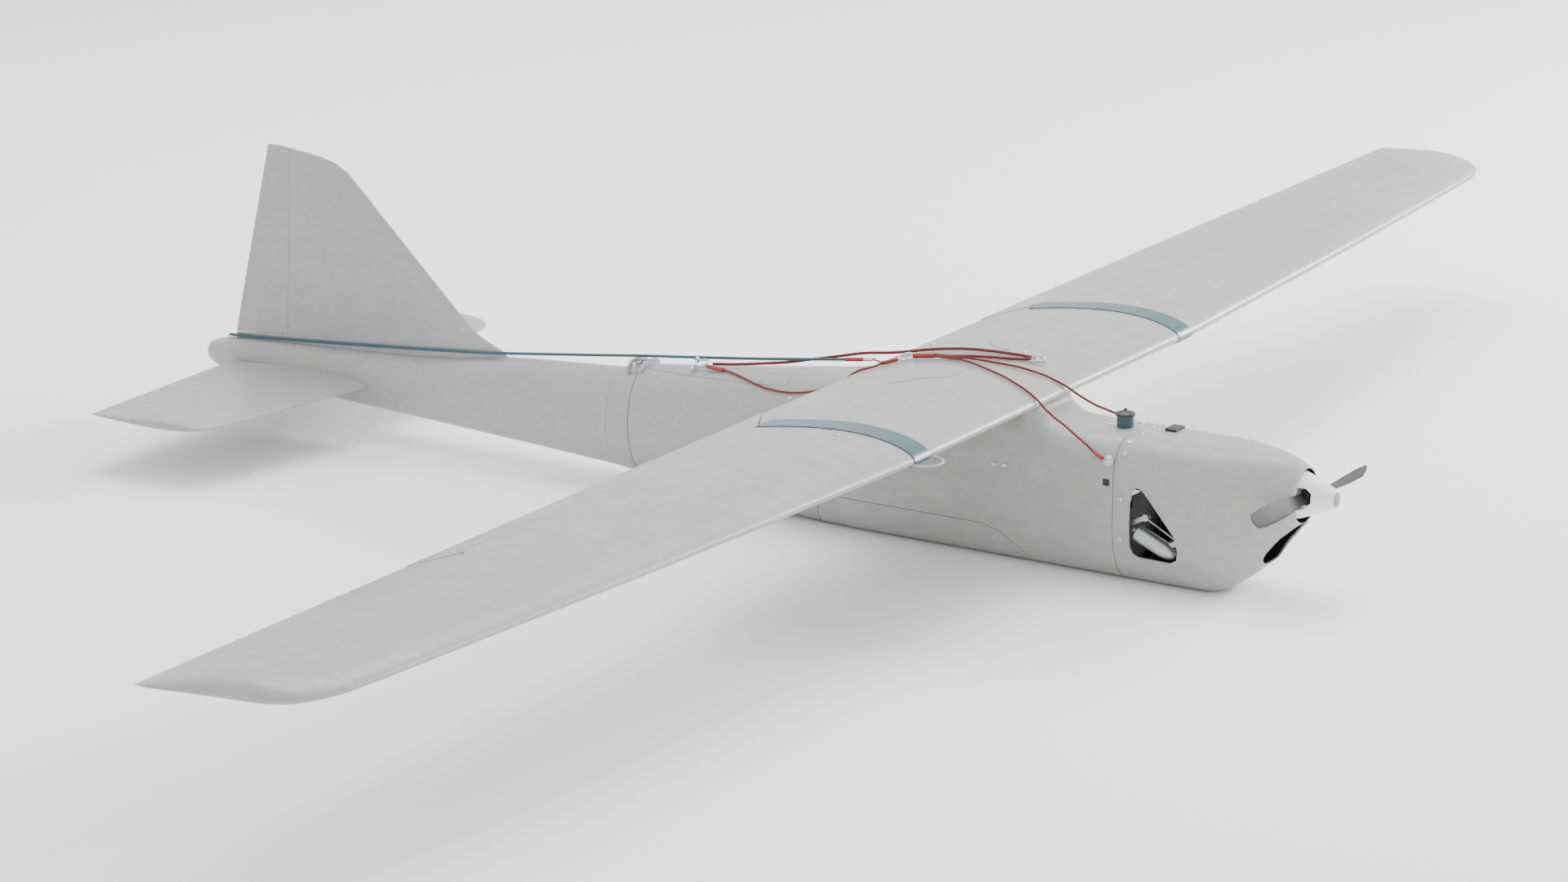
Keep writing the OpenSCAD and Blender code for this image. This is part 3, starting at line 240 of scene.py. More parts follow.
class Bench:
    def __init__(self, tree):
        self.tree = tree

    def make(self, kind, settings=None, inputs=None):
        node = self.tree.nodes.new(kind)
        for name, value in (settings or {}).items():
            if name == "stops":
                for stop, (place, level) in zip(node.color_ramp.elements, value):
                    stop.position, stop.color = place, (level, level, level, 1)
            else:
                setattr(node, name, value)
        for key, value in (inputs or {}).items():
            if isinstance(value, Wire):
                self.tree.links.new(value.socket, node.inputs[key])
            else:
                node.inputs[key].default_value = value
        return Made(self, node)

# %% [markdown]
# ## Finishes
# Every finish starts from one shader with its constant numbers set on its own sockets. Patterns
# then vary only the colour, the roughness and the bump. They are read from Object coordinates,
# in metres, so that a grain has a true size; braid follows the cord's own UV map.

# %% Common steps of a finish
finishes = {}

def start_finish(name, **constants):
    material = bpy.data.materials.new(name)
    material.use_nodes = True
    material.node_tree.nodes.clear()
    bench = Bench(material.node_tree)
    shader = bench.make("ShaderNodeBsdfPrincipled", None,
        {key.replace("_", " "): value for key, value in constants.items()})
    bench.make("ShaderNodeOutputMaterial", None, {"Surface": shader["BSDF"]})
    finishes[name] = material
    return bench, shader.node

def place_on(bench, scale=(1, 1, 1), turn=(0, 0, 0)):
    where = bench.make("ShaderNodeTexCoord")["Object"]
    return bench.make("ShaderNodeMapping", None, {"Vector": where, "Scale": scale, "Rotation": turn})[0]

def noise(bench, where, scale, detail=4.0, rough=0.55):
    return bench.make("ShaderNodeTexNoise", None,
        {"Vector": where, "Scale": scale, "Detail": detail, "Roughness": rough})["Fac"]

def stepped(bench, value, low, high):
    return bench.make("ShaderNodeMapRange", {"interpolation_type": "SMOOTHSTEP"},
        {"Value": value, "From Min": low, "From Max": high})["Result"]

def between(bench, factor, first, second):
    return bench.make("ShaderNodeMix", {"data_type": "RGBA"},
        {0: factor, 6: (*first, 1), 7: (*second, 1)})[2]

def wear(bench, shader, colour=None, rough=None, height=None, distance=0.001, strength=0.3):
    if colour is not None:
        bench.tree.links.new(colour.socket, shader.inputs["Base Color"])
    if rough is not None:
        bench.tree.links.new(rough.socket, shader.inputs["Roughness"])
    if height is not None:
        bump = bench.make("ShaderNodeBump", None,
            {"Strength": strength, "Distance": distance, "Height": height})["Normal"]
        bench.tree.links.new(bump.socket, shader.inputs["Normal"])

# %% [markdown]
# ### Gel coat of the airframe
# The skins are glass fibre with a sprayed satin coat, handled and wiped for years: a warm light
# grey, faint cloudy streaks along the span, and polished patches whose edges are ragged where
# the light catches them. The patches are a noise put through a steep step into the roughness.

# %% Gel coat
bench, shader = start_finish("airframe", IOR=1.5)
brushed = noise(bench, place_on(bench, (0.45, 1, 1)), 150, 6, 0.62)
mottle = noise(bench, place_on(bench, (0.5, 1, 1)), 52, 5, 0.6)
clouds = noise(bench, place_on(bench), 6, 3, 0.5)
rubbed = stepped(bench, mottle * 0.6 + brushed * 0.4, 0.45, 0.58)
peel = noise(bench, place_on(bench), 420, 2, 0.5)
tone = brushed * 0.35 + clouds * 0.45 + rubbed * 0.2
wear(bench, shader, between(bench, tone, (0.285, 0.280, 0.278), (0.395, 0.389, 0.387)),
    0.34 - rubbed * 0.09 + brushed * 0.05, brushed * 0.75 + mottle * 0.9 + peel * 0.08, 0.0011, 0.32)

# %% Tape, mouldings and paint
def moulded(name, dark, light, rough, grain, depth=0.15, **constants):
    bench, shader = start_finish(name, **constants)
    fine = noise(bench, place_on(bench), grain, 4, 0.6)
    broad = noise(bench, place_on(bench), grain / 14, 3, 0.5)
    scuff = stepped(bench, noise(bench, place_on(bench, (1, 5, 1)), grain / 5, 6, 0.7), 0.58, 0.66)
    wear(bench, shader, between(bench, broad * 0.7 + scuff * 0.3, dark, light),
        rough + fine * 0.12 + scuff * 0.10, fine, 0.0004, depth)

moulded("band_teal", (0.020, 0.080, 0.100), (0.036, 0.125, 0.150), 0.26, 500, 0.10, Coat_Weight=0.15)
moulded("neck_teal", (0.018, 0.055, 0.062), (0.040, 0.095, 0.105), 0.40, 700)
moulded("dark_plastic", (0.008, 0.008, 0.009), (0.030, 0.030, 0.032), 0.38, 900, 0.3)
# soot is near-black painted shade: it stands for the shadow inside the body, on the firewall and on the
# inner walls of the shells.
moulded("soot", (0.006, 0.006, 0.006), (0.018, 0.017, 0.016), 0.62, 500, 0.3)
moulded("blade", (0.022, 0.022, 0.024), (0.046, 0.046, 0.049), 0.50, 600, 0.2, Specular_IOR_Level=0.25)
moulded("spinner", (0.78, 0.78, 0.79), (0.90, 0.90, 0.90), 0.14, 300, 0.05, Coat_Weight=0.6)
moulded("tank", (0.62, 0.60, 0.52), (0.78, 0.76, 0.68), 0.42, 250, 0.2, Subsurface_Weight=0.2)
moulded("battery", (0.012, 0.035, 0.11), (0.03, 0.07, 0.18), 0.30, 350, 0.3)
moulded("servo", (0.010, 0.010, 0.011), (0.028, 0.028, 0.030), 0.48, 1200, 0.35)
moulded("arm", (0.68, 0.68, 0.65), (0.80, 0.80, 0.77), 0.42, 800)
moulded("sleeve_red", (0.230, 0.014, 0.012), (0.400, 0.035, 0.026), 0.34, 900, 0.5)

# %% [markdown]
# ### Metals
# Zinc-plated screws and rings, grey die-cast engine parts and machined plates differ in grain:
# plating is cloudy, a casting is pitted, and a machined face carries fine parallel lines.

# %% Metals
def metal(name, dark, light, rough, pits, line_scale=0.0, depth=0.3):
    bench, shader = start_finish(name, Metallic=1.0)
    cloud = noise(bench, place_on(bench), pits / 8, 4, 0.6)
    grain = noise(bench, place_on(bench), pits, 5, 0.7)
    lines = noise(bench, place_on(bench, (1, 1, max(line_scale, 1))), pits, 3, 0.6)
    grime = stepped(bench, noise(bench, place_on(bench), pits / 14, 6, 0.7), 0.52, 0.70)
    wear(bench, shader, between(bench, grime * 0.8 + cloud * 0.2, light, dark),
        rough + grain * 0.16 + grime * 0.2, grain * 0.5 + lines * 0.5, 0.0003, depth)

metal("steel", (0.30, 0.30, 0.30), (0.66, 0.67, 0.68), 0.20, 700)
metal("cast_metal", (0.24, 0.27, 0.25), (0.50, 0.54, 0.51), 0.38, 480, depth=0.6)
metal("machined", (0.34, 0.34, 0.35), (0.60, 0.61, 0.62), 0.26, 520, 12)
metal("electronics", (0.028, 0.030, 0.034), (0.055, 0.058, 0.064), 0.34, 600, 9)

# %% Ply, pack cloth and carbon
bench, shader = start_finish("ply")
rings = noise(bench, place_on(bench, (9, 1, 1.4)), 22, 6, 0.6)
grain = (noise(bench, place_on(bench, (60, 1, 6)), 60, 4, 0.6) + rings * 3).sine().size()
wear(bench, shader, between(bench, grain, (0.37, 0.23, 0.11), (0.58, 0.41, 0.24)),
    0.52 + grain * 0.1, grain, 0.0003, 0.3)

bench, shader = start_finish("pack")
parts_of = bench.make("ShaderNodeSeparateXYZ", None, {0: place_on(bench)})
warp, weft = (parts_of[0] * 2600).sine(), (parts_of[1] * 2600 + parts_of[2] * 2600).sine()
ripstop = ((parts_of[0] * 900).sine() > 0.96) + ((parts_of[2] * 900).sine() > 0.96)
weave = warp * weft * 0.5 + 0.5
wear(bench, shader,
    between(bench, weave * 0.6 + ripstop * 0.4, (0.050, 0.055, 0.030), (0.12, 0.125, 0.075)),
    0.8 - weave * 0.12, weave + ripstop * 0.5, 0.0004, 0.5)

bench, shader = start_finish("carbon", Coat_Weight=0.8)
parts_of = bench.make("ShaderNodeSeparateXYZ", None, {0: place_on(bench)})
twill = ((parts_of[1] * 2100 + parts_of[0] * 2100).sine()
    * (parts_of[1] * 2100 - parts_of[2] * 2100).sine())
wear(bench, shader, between(bench, twill * 0.5 + 0.5, (0.006, 0.006, 0.007), (0.030, 0.031, 0.034)),
    0.30 + twill * 0.06, twill, 0.0002, 0.2)

# %% [markdown]
# ### Braid
# A round braid has strands that run both ways round the line. Two sets of slanted waves on the
# UV map, one against the other, give the crossing strands; the higher of them is on top.

# %% Braid
def braid(name, dark, light, turns=6, pitch=0.0065):
    bench, shader = start_finish(name)
    uv = bench.make("ShaderNodeUVMap", {"uv_map": "along"})[0]
    parts_of = bench.make("ShaderNodeSeparateXYZ", None, {0: uv})
    round_it, along_it = parts_of[0] * (turns * 2 * math.pi), parts_of[1] * (2 * math.pi / pitch)
    strands = (round_it + along_it * 2).sine().maths("MAXIMUM", (round_it + along_it * 2).sine(),
        (round_it - along_it * 2).sine())
    fuzz = noise(bench, place_on(bench), 1500, 3, 0.7)
    tint = strands * 0.35 + fuzz * 0.45 + 0.1
    wear(bench, shader, between(bench, tint, dark, light), 0.62 + fuzz * 0.15, strands + fuzz * 0.4,
        0.0004, 0.6)

braid("red_braid", (0.075, 0.006, 0.007), (0.260, 0.022, 0.020))
braid("teal_braid", (0.014, 0.058, 0.072), (0.048, 0.150, 0.180))
print("finishes:", len(finishes))

# %% [markdown]
# ## Skins of the body
# The body is a loft: rounded sections at stations along it. The frame's loft is straight between
# stations, so this one runs a monotone curve through them, which never swings past a station. A
# shell is one closed surface: rings along the outside, then back along the inside.

# %% Stations along the body
# Each is [x, bottom, top, half width, lower corner's width and height, upper corner's], in mm
joint_x, deck, half_w = 397, 192, 71
body_stations = [[-366, 17.5, 169, 48, 46, 74, 46, 74], [-250, 10, 182, 55, 50, 74, 50, 76],
    [-144, 3, 194, 63, 50, 76, 48, 72], [-80, 0, 201, 68, 48, 78, 44, 60],
    [-30, 0, 207, 70, 46, 80, 40, 50], [5, 0, 219, half_w, 45, 80, 38, 46],
    [60, 0, 226, half_w, 45, 80, 38, 46], [258, 0, 226, half_w, 45, 80, 38, 46],
    [266, 0, 212, half_w, 45, 80, 40, 44], [275, 0, 203, half_w, 45, 80, 41, 44],
    [290, 0, 195.5, half_w, 45, 80, 42, 45], [308, 0, 192, half_w, 45, 80, 44, 46],
    [341, 0, 191.5, half_w, 45, 80, 45, 47], [397, 0, 192, half_w, 45, 80, 46, 48]]
cowl_stations = [[397.3, 0, 192, half_w, 45, 80, 46, 48], [512, 0, 193, 70, 46, 80, 46, 50],
    [541, 6, 193.5, 68, 46, 76, 48, 52], [559, 17, 193, 65, 46, 72, 50, 54],
    [578, 33, 192, 61, 48, 68, 50, 56], [595, 48, 190.5, 56, 47, 62, 50, 58],
    [612, 63, 187.5, 49, 45, 54, 46, 54], [626, 81, 183, 42, 40, 47, 41, 48],
    [636, 105, 177, 36, 35, 35.5, 35, 35.5]]
boom_stations = [[-1126, 76, 90, 6, 5.5, 6.8, 5.5, 6.8], [-1121, 69, 96, 12, 11, 13, 11, 13],
    [-1105, 62, 102, 18, 17, 19.5, 17, 19.5], [-1080, 60, 107, 23, 22, 23, 22, 23],
    [-985, 51, 114, 28, 27, 31, 27, 31], [-900, 45, 119, 33, 32, 36.5, 32, 36.5],
    [-760, 38, 128, 38, 37, 44.5, 37, 44.5], [-575, 29, 147, 41, 40, 58.5, 40, 58.5],
    [-404.3, 20, 159, 45.6, 44.6, 69, 44.6, 69]]
collar_stations = [[-404, 19, 160, 46.6, 45.6, 70, 45.6, 70],
    [-366.3, 16.5, 170, 49, 47, 75, 47, 75]]
wall = 3

# %% A curve through stations, and a section at one of them
def through(stations, at):
    """Monotone cubic values of every column at the places in `at`."""
    s = np.array(stations, float)
    x, y = s[:, 0], s[:, 1:]
    h = np.diff(x)[:, None]
    slope = np.diff(y, axis=0) / h
    lean = np.vstack([slope[:1], np.zeros((len(x) - 2, y.shape[1])), slope[-1:]])
    a, b = slope[:-1], slope[1:]
    lean[1:-1] = np.where(a * b > 0, 2 * a * b / np.where(a * b > 0, a + b, 1), 0)
    k = np.clip(np.searchsorted(x, at, side="right") - 1, 0, len(x) - 2)
    t = ((at - x[k]) / h[k, 0])[:, None]
    return ((2 * t ** 3 - 3 * t ** 2 + 1) * y[k] + (t ** 3 - 2 * t ** 2 + t) * h[k] * lean[k]
            + (3 * t ** 2 - 2 * t ** 3) * y[k + 1] + (t ** 3 - t ** 2) * h[k] * lean[k + 1])

def section(x, r, inset, steps=12):
    """The rounded section at x, moved inwards by inset, in metres."""
    bottom, top, half, low_w, low_h, up_w, up_h = r
    points = []
    for side, up in ((1, 1), (-1, 1), (-1, -1), (1, -1)):
        width, height = (up_w, up_h) if up > 0 else (low_w, low_h)
        y0, z0 = half - width, top - height if up > 0 else bottom + height
        turn = np.linspace(0, math.pi / 2, steps + 1)
        if side * up < 0:
            turn = turn[::-1]
        points += [(x, side * (y0 + (width - inset) * math.cos(g)),
                    z0 + up * (height - inset) * math.sin(g)) for g in turn]
    return np.array(points) * mm

def places(stations, start, end, step=9):
    marks = [s[0] for s in stations if start < s[0] < end]
    return np.unique(np.round(np.concatenate([np.arange(start, end, step), [end], marks]), 3))

# %% Meshes from rings
def ringed(name, rings, loop_back=False):
    """Quads between rings of equal length. loop_back joins the last ring to the first."""
    count, size = len(rings), len(rings[0])
    faces = []
    for k in range(count if loop_back else count - 1):
        a, b = k * size, (k + 1) % count * size
        faces += [(a + i, a + (i + 1) % size, b + (i + 1) % size, b + i) for i in range(size)]
    if not loop_back:
        faces += [tuple(range(size))[::-1], tuple((count - 1) * size + i for i in range(size))]
    mesh = bpy.data.meshes.new(name)
    mesh.from_pydata(np.concatenate(rings).tolist(), [], faces)
    return new_piece(name, mesh)

def solid(name, stations, start, end, inset=0.0):
    at = places(stations, start, end)
    return ringed(name, [section(x, r, inset) for x, r in zip(at, through(stations, at))])

def shell(name, stations, start, end, lip=0.5):
    """A hollow skin, open at both ends, with its outer edges eased by the lip."""
    at = places(stations, start + lip, end - lip)
    rows = through(stations, at)
    out = [section(x, r, 0) for x, r in zip(at, rows)]
    for share in (0.3, 0.65, 1.0):
        drop = lip * (1 - math.sqrt(1 - share ** 2))
        out.insert(0, section(start + lip * (1 - share), rows[0], drop))
        out.append(section(end - lip * (1 - share), rows[-1], drop))
    back = [section(x, r, wall) for x, r in zip(at[::-1], rows[::-1])]
    back[0][:, 0], back[-1][:, 0] = end * mm, start * mm
    piece = ringed(name, out + back, loop_back=True)
    # The inner faces take the near-black soot finish: painted shade for the dark inside of the body.
    for finish_name in ("airframe", "soot"):
        piece.data.materials.append(finishes[finish_name])
    for face in piece.data.polygons:
        face.material_index = int(len(out) <= face.index // len(out[0]) < len(out) + len(back) - 1)
    return piece

# %% Cutting one piece with another
def prism(name, outline, low, high, along):
    """An outline of (x, z) drawn out along y, or of (x, y) along z, or of (y, z) along x."""
    def put(p, d):
        return {"y": (p[0], d, p[1]), "z": (p[0], p[1], d), "x": (d, p[0], p[1])}[along]
    return ringed(name, [np.array([put(p, d) for p in outline], float) * mm for d in (low, high)])

def carve(piece, tool, operation="DIFFERENCE", keep_tool=False, sharp=35):
    """Applies one boolean and gives the piece its new mesh."""
    cut = piece.modifiers.new("cut", "BOOLEAN")
    cut.operation, cut.object, cut.solver = operation, tool, "EXACT"
    bpy.context.view_layer.update()
    result = bpy.data.meshes.new_from_object(piece.evaluated_get(bpy.context.evaluated_depsgraph_get()))
    piece.modifiers.remove(cut)
    old, piece.data = piece.data, result
    result.name = piece.name
    bpy.data.meshes.remove(old)
    result.shade_smooth()
    result.set_sharp_from_angle(angle=math.radians(sharp))
    if not keep_tool:
        bpy.data.objects.remove(tool)
    return piece

def grown(outline, g):
    """The outline moved outwards by g; it runs anticlockwise."""
    p = np.array(outline, float)
    area = np.sum(p[:, 0] * np.roll(p[:, 1], -1) - np.roll(p[:, 0], -1) * p[:, 1])
    before, after = p - np.roll(p, 1, axis=0), np.roll(p, -1, axis=0) - p
    n = [np.stack([v[:, 1], -v[:, 0]], 1) / np.linalg.norm(v, axis=1)[:, None] * np.sign(area)
         for v in (before, after)]
    return p + g * (n[0] + n[1]) / (1 + np.sum(n[0] * n[1], axis=1))[:, None]

# %% Handing a piece over to the frame
def finish(piece, finish_name, *replaced, body=None):
    if len(piece.data.materials) < 2:
        piece.data.materials.clear()
        piece.data.materials.append(finishes[finish_name])
    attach(piece, body or cad[replaced[0]]["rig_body"])
    if replaced:
        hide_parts(*replaced)
    return piece

for name, (route, diameter, finish_name) in cord_plan.items():
    finish(cords[name], finish_name, name)

# %% [markdown]
# ### The wing, drawn by Geometry Nodes
# A wing is a rule: one foil section, scaled to the chord at each place along the span, with its
# trailing edge in a straight line. The tree makes the rail along the trailing edge, gives every
# point the chord as its scale, and sweeps the foil along it. The foil itself is written as an
# expression: camber line plus or minus half the thickness.

# %% The wing's tree
wing_z, wing_chord, tip_chord, wing_t, camber = 220, 279, 208, 0.12, 0.03
taper_y, rake_y, half_span, centre_half = 372, 1440, 1550, 350
tip_shape = [[372, 279], [1440, 208], [1472, 199], [1495, 188], [1514, 167], [1528, 108], [1540, 58],
    [1550, 20]]

def node_tree(name, numbers):
    tree = bpy.data.node_groups.new(name, "GeometryNodeTree")
    tree.interface.new_socket("Geometry", in_out="OUTPUT", socket_type="NodeSocketGeometry")
    tree.interface.new_socket("Geometry", in_out="INPUT", socket_type="NodeSocketGeometry")
    for label, value in numbers.items():
        kind = "NodeSocketInt" if isinstance(value, int) else "NodeSocketFloat"
        tree.interface.new_socket(label, in_out="INPUT", socket_type=kind).default_value = value
    bench = Bench(tree)
    return bench, bench.make("NodeGroupInput"), bench.make("NodeGroupOutput")

def grown_from(name, tree, material_name, host=None, **numbers):
    """Runs a tree on a host mesh and returns its result as a plain piece."""
    holder = bpy.data.objects.new(name, host or bpy.data.meshes.new(name))
    bpy.context.scene.collection.objects.link(holder)
    worker = holder.modifiers.new("tree", "NODES")
    worker.node_group = tree
    sockets = {s.name: s.identifier for s in tree.interface.items_tree if s.in_out == "INPUT"}
    for label, value in numbers.items():
        worker[sockets[label.replace("_", " ")]] = value
    bpy.context.view_layer.update()
    mesh = bpy.data.meshes.new_from_object(
        holder.evaluated_get(bpy.context.evaluated_depsgraph_get()))
    bpy.data.objects.remove(holder)
    mesh.name = name
    body = bmesh.new()
    body.from_mesh(mesh)
    bmesh.ops.remove_doubles(body, verts=body.verts, dist=2e-6)
    body.to_mesh(mesh)
    body.free()
    mesh.materials.clear()
    return new_piece(name, mesh, 40)

numbers = {"Inner end": 0.35, "Outer end": 1.55, "Thickness": wing_t, "Camber": camber,
    "Aft shift": 0.0, "Foil points": 97, "Span points": 90, "Tip spread": 2.2}
bench, given, result = node_tree("wing_skin", numbers)
line = bench.make("GeometryNodeMeshLine", {"mode": "OFFSET"},
    {"Count": given["Span points"], "Offset": (0, 0, 0)})["Mesh"]
share = bench.make("GeometryNodeInputIndex")[0] / (given["Span points"] - 1)
along = given["Outer end"] - (given["Outer end"] - given["Inner end"]) * (1 - share) ** given["Tip spread"]
rail = bench.make("GeometryNodeSetPosition", None, {"Geometry": line, "Position":
    bench.make("ShaderNodeCombineXYZ", None, {0: 0 - given["Aft shift"], 1: along, 2: wing_z * mm})[0]})[0]
rail = bench.make("GeometryNodeMeshToCurve", None, {"Mesh": rail})[0]
chord_at = bench.make("ShaderNodeFloatCurve", None, {"Value": along / (half_span * mm)})
curve = chord_at.node.mapping.curves[0]
tip_y = np.concatenate([[0, 372, 900], np.linspace(1380, 1550, 26)])
tip_c = np.where(tip_y < taper_y, wing_chord, through(tip_shape, np.maximum(tip_y, 372))[:, 0])
marks = [(y / half_span, c / 300) for y, c in zip(tip_y, tip_c)]
curve.points[0].location, curve.points[1].location = marks[0], marks[-1]
for spot in marks[1:-1]:
    curve.points.new(*spot)
for point in curve.points:
    point.handle_type = "VECTOR"
chord_at.node.mapping.update()
chord = chord_at[0] * (300 * mm)
print("float curve points:", len(curve.points))
u = bench.make("GeometryNodeInputIndex")[0] / (given["Foil points"] - 1) * 2 - 1
s = u * u
half_thick = (0.2969 * s.root() - 0.126 * s - 0.3516 * s * s + 0.2843 * s * s * s
    - 0.1015 * s * s * s * s) * given["Thickness"] * 5
before = (0.8 * s - s * s) * given["Camber"] / 0.16
behind = (0.2 + 0.8 * s - s * s) * given["Camber"] / 0.36
line_height = before + (behind - before) * (s > 0.4)
height = line_height + u.maths("SIGN", u) * half_thick
foil = bench.make("GeometryNodeMeshLine", {"mode": "OFFSET"},
    {"Count": given["Foil points"], "Offset": (0, 0, 0)})["Mesh"]
foil = bench.make("GeometryNodeSetPosition", None, {"Geometry": foil, "Position":
    bench.make("ShaderNodeCombineXYZ", None, {0: 1 - s, 1: 0 - height, 2: 0.0})[0]})[0]
foil = bench.make("GeometryNodeMeshToCurve", None, {"Mesh": foil})[0]
foil = bench.make("GeometryNodeSetSplineCyclic", None, {"Geometry": foil, "Cyclic": True})[0]
sweep = bench.make("GeometryNodeCurveToMesh", None, {"Profile Curve": foil, "Fill Caps": True})
if "Scale" in sweep.node.inputs:
    bench.tree.links.new(rail.socket, sweep.node.inputs["Curve"])
    bench.tree.links.new(chord.socket, sweep.node.inputs["Scale"])
else:
    sized = bench.make("GeometryNodeSetCurveRadius", None, {"Curve": rail, "Radius": chord})[0]
    bench.tree.links.new(sized.socket, sweep.node.inputs["Curve"])
solid_wing = bench.make("GeometryNodeRealizeInstances", None, {"Geometry": sweep[0]})[0]
solid_wing = bench.make("GeometryNodeSetMaterial", None,
    {"Geometry": solid_wing, "Material": finishes["airframe"]})[0]
bench.tree.links.new(solid_wing.socket, result.node.inputs["Geometry"])
wing_tree = bench.tree

# %% [markdown]
# ### Cutting the wing into its panels
# The centre section carries a panel at each side. Each aileron is the same wing skin, moved
# 2 mm aft, kept only inside its own outline, with a round nose along the hinge. The outline is
# cut from the wing a little larger, so that the gap runs right through, as it does on the real
# one.

# %% Ailerons and their cuts
hinge_x, hinge_z, nose_r, gap = 40, 223.5, 6.5, 1.0
aileron_in, aileron_out, end_room = (357, 285), (998, 1050), (4, 3)

def aileron_outline(room):
    return [(hinge_x, aileron_in[0] - room[0]), (hinge_x, aileron_out[0] + room[1]),
        (-6, aileron_out[1] + 6 + room[1]), (-6, aileron_in[1] - 11 - room[0])]

def aileron_tools(room, radius):
    turn = np.linspace(0, 2 * math.pi, 49)[:-1]
    circle = [(hinge_x + radius * math.cos(g), hinge_z + radius * math.sin(g)) for g in turn]
    plan = prism("aileron_plan", aileron_outline(room), 180, 260, "z")
    nose = prism("aileron_nose", circle, aileron_in[0] - room[0], aileron_out[0] + room[1], "y")
    return plan, nose

def mirrored(piece, name):
    mesh = piece.data.copy()
    mesh.transform(((1, 0, 0, 0), (0, -1, 0, 0), (0, 0, 1, 0), (0, 0, 0, 1)))
    return new_piece(name, mesh, 40)

def joined(name, *pieces):
    """One mesh of several that may overlap."""
    body = bmesh.new()
    for piece in pieces:
        body.from_mesh(piece.data)
        bpy.data.objects.remove(piece)
    mesh = bpy.data.meshes.new(name)
    body.to_mesh(mesh)
    body.free()
    mesh.shade_smooth()
    mesh.set_sharp_from_angle(angle=math.radians(35))
    whole = bpy.data.objects.new(name, mesh)
    bpy.context.scene.collection.objects.link(whole)
    return whole

left_panel = grown_from("outer_wing_left_skin", wing_tree, "airframe", Inner_end=0.3506)
for tool in aileron_tools(end_room, nose_r + gap):
    carve(left_panel, tool)
right_panel = mirrored(left_panel, "outer_wing_right_skin")
finish(left_panel, "airframe", "outer_wing_left")
finish(right_panel, "airframe", "outer_wing_right")

centre = grown_from("wing_centre_skin", wing_tree, "airframe", Inner_end=-0.35, Outer_end=0.35,
    Tip_spread=1.0)
for tool in aileron_tools(end_room, nose_r + gap):
    carve(centre, mirrored(tool, "mirror_tool"))
    carve(centre, tool)
finish(centre, "airframe", "wing_centre")

# %% Ailerons themselves
def horn(y):
    outline = [(8, hinge_z - 3), (36, hinge_z - 3), (44, hinge_z - 20), (43, hinge_z - 25),
        (37, hinge_z - 26), (32, hinge_z - 22)]
    plate = prism("horn", outline, y - 1, y + 1, "y")
    turn = np.linspace(0, 2 * math.pi, 25)[:-1]
    hole = [(hinge_x + 1.15 * math.cos(g), hinge_z - 22 + 1.15 * math.sin(g)) for g in turn]
    return carve(plate, prism("pin_hole", hole, y - 2, y + 2, "y"))

plan, nose = aileron_tools((0, 0), nose_r)
left_aileron = grown_from("aileron_left_skin", wing_tree, "airframe", Inner_end=0.27, Aft_shift=0.002)
carve(left_aileron, plan, "INTERSECT")
carve(left_aileron, nose, "UNION")
left_aileron = joined("aileron_left_skin", left_aileron, horn(600))
right_aileron = mirrored(left_aileron, "aileron_right_skin")
finish(left_aileron, "airframe", "aileron_left")
finish(right_aileron, "airframe", "aileron_right")
print("aileron faces:", len(left_aileron.data.polygons))

# %% [markdown]
# ### Body shells and their hatches
# The hull's skin is cut by the outline of each hatch, a little larger than the hatch itself. What
# is left between them is the dark line that the eye reads as a separate panel.

# %% Hull, hatches, cowl, collar and boom
belly_outline = [(-62, -5), (-57, 22), (-47, 41), (-30, 51.5), (203, 51.5), (231, 42), (262, 16),
    (268, -5)]
chute_outline = [(-353, 15), (-279, 25), (-171, 39), (-112, 45), (-112, -45), (-171, -39), (-279, -25),
    (-353, -15)]
side_hole = [(431, 135), (424, 127), (421, 110), (421, 52), (425, 44), (432, 41), (478, 40), (488, 46),
    (491, 58), (486, 78), (443, 129), (437, 134)]

hull = shell("fuselage_skin", body_stations, -366, 397, 1.3)
carve(hull, prism("belly_room", grown(belly_outline, 0.55), -120, 120, "y"))
carve(hull, prism("chute_room", grown(chute_outline, 0.55), 110, 260, "z"))
turn = np.linspace(0, 2 * math.pi, 49)[:-1]
neck_hole = [(376 + 11.05 * math.cos(g), 11.05 * math.sin(g)) for g in turn]
carve(hull, prism("neck_room", neck_hole, 150, 210, "z"))
carve(hull, grown_from("saddle", wing_tree, "airframe", Inner_end=-0.35, Outer_end=0.35, Tip_spread=1.0))
finish(hull, "airframe", "fuselage_shell")

belly = carve(shell("belly_hatch_skin", body_stations, -366, 397),
    prism("belly_lid", grown(belly_outline, -0.25), -120, 120, "y"), "INTERSECT")
finish(belly, "airframe", "belly_hatch")
chute_lid = carve(shell("parachute_hatch_skin", body_stations, -366, 397),
    prism("chute_lid", grown(chute_outline, -0.25), 110, 260, "z"), "INTERSECT")
finish(chute_lid, "airframe", "parachute_hatch")

cowl = shell("nose_cowl_skin", cowl_stations, 397.3, 636, 1.3)
carve(cowl, prism("side_openings", side_hole, -120, 120, "y"))
def full_wave(w):
    return math.copysign(abs(w) ** 0.8, w)
scoop_turn = np.linspace(0, 2 * math.pi, 49)[:-1]
scoop_outline = [(37 * full_wave(math.cos(g)), 74.5 + 30 * full_wave(math.sin(g))) for g in scoop_turn]
carve(cowl, prism("scoop", scoop_outline, 548, 668, "x"))
finish(cowl, "airframe", "nose_cowl")
finish(shell("joint_collar_skin", collar_stations, -404, -366.3, 1.6), "airframe", "joint_collar")

boom = solid("tail_boom_skin", boom_stations, -1126, -404.3)
carve(boom, solid("boom_hollow", boom_stations, -1080, -404.3, wall))
print("hull faces:", len(hull.data.polygons), "cowl faces:", len(cowl.data.polygons))
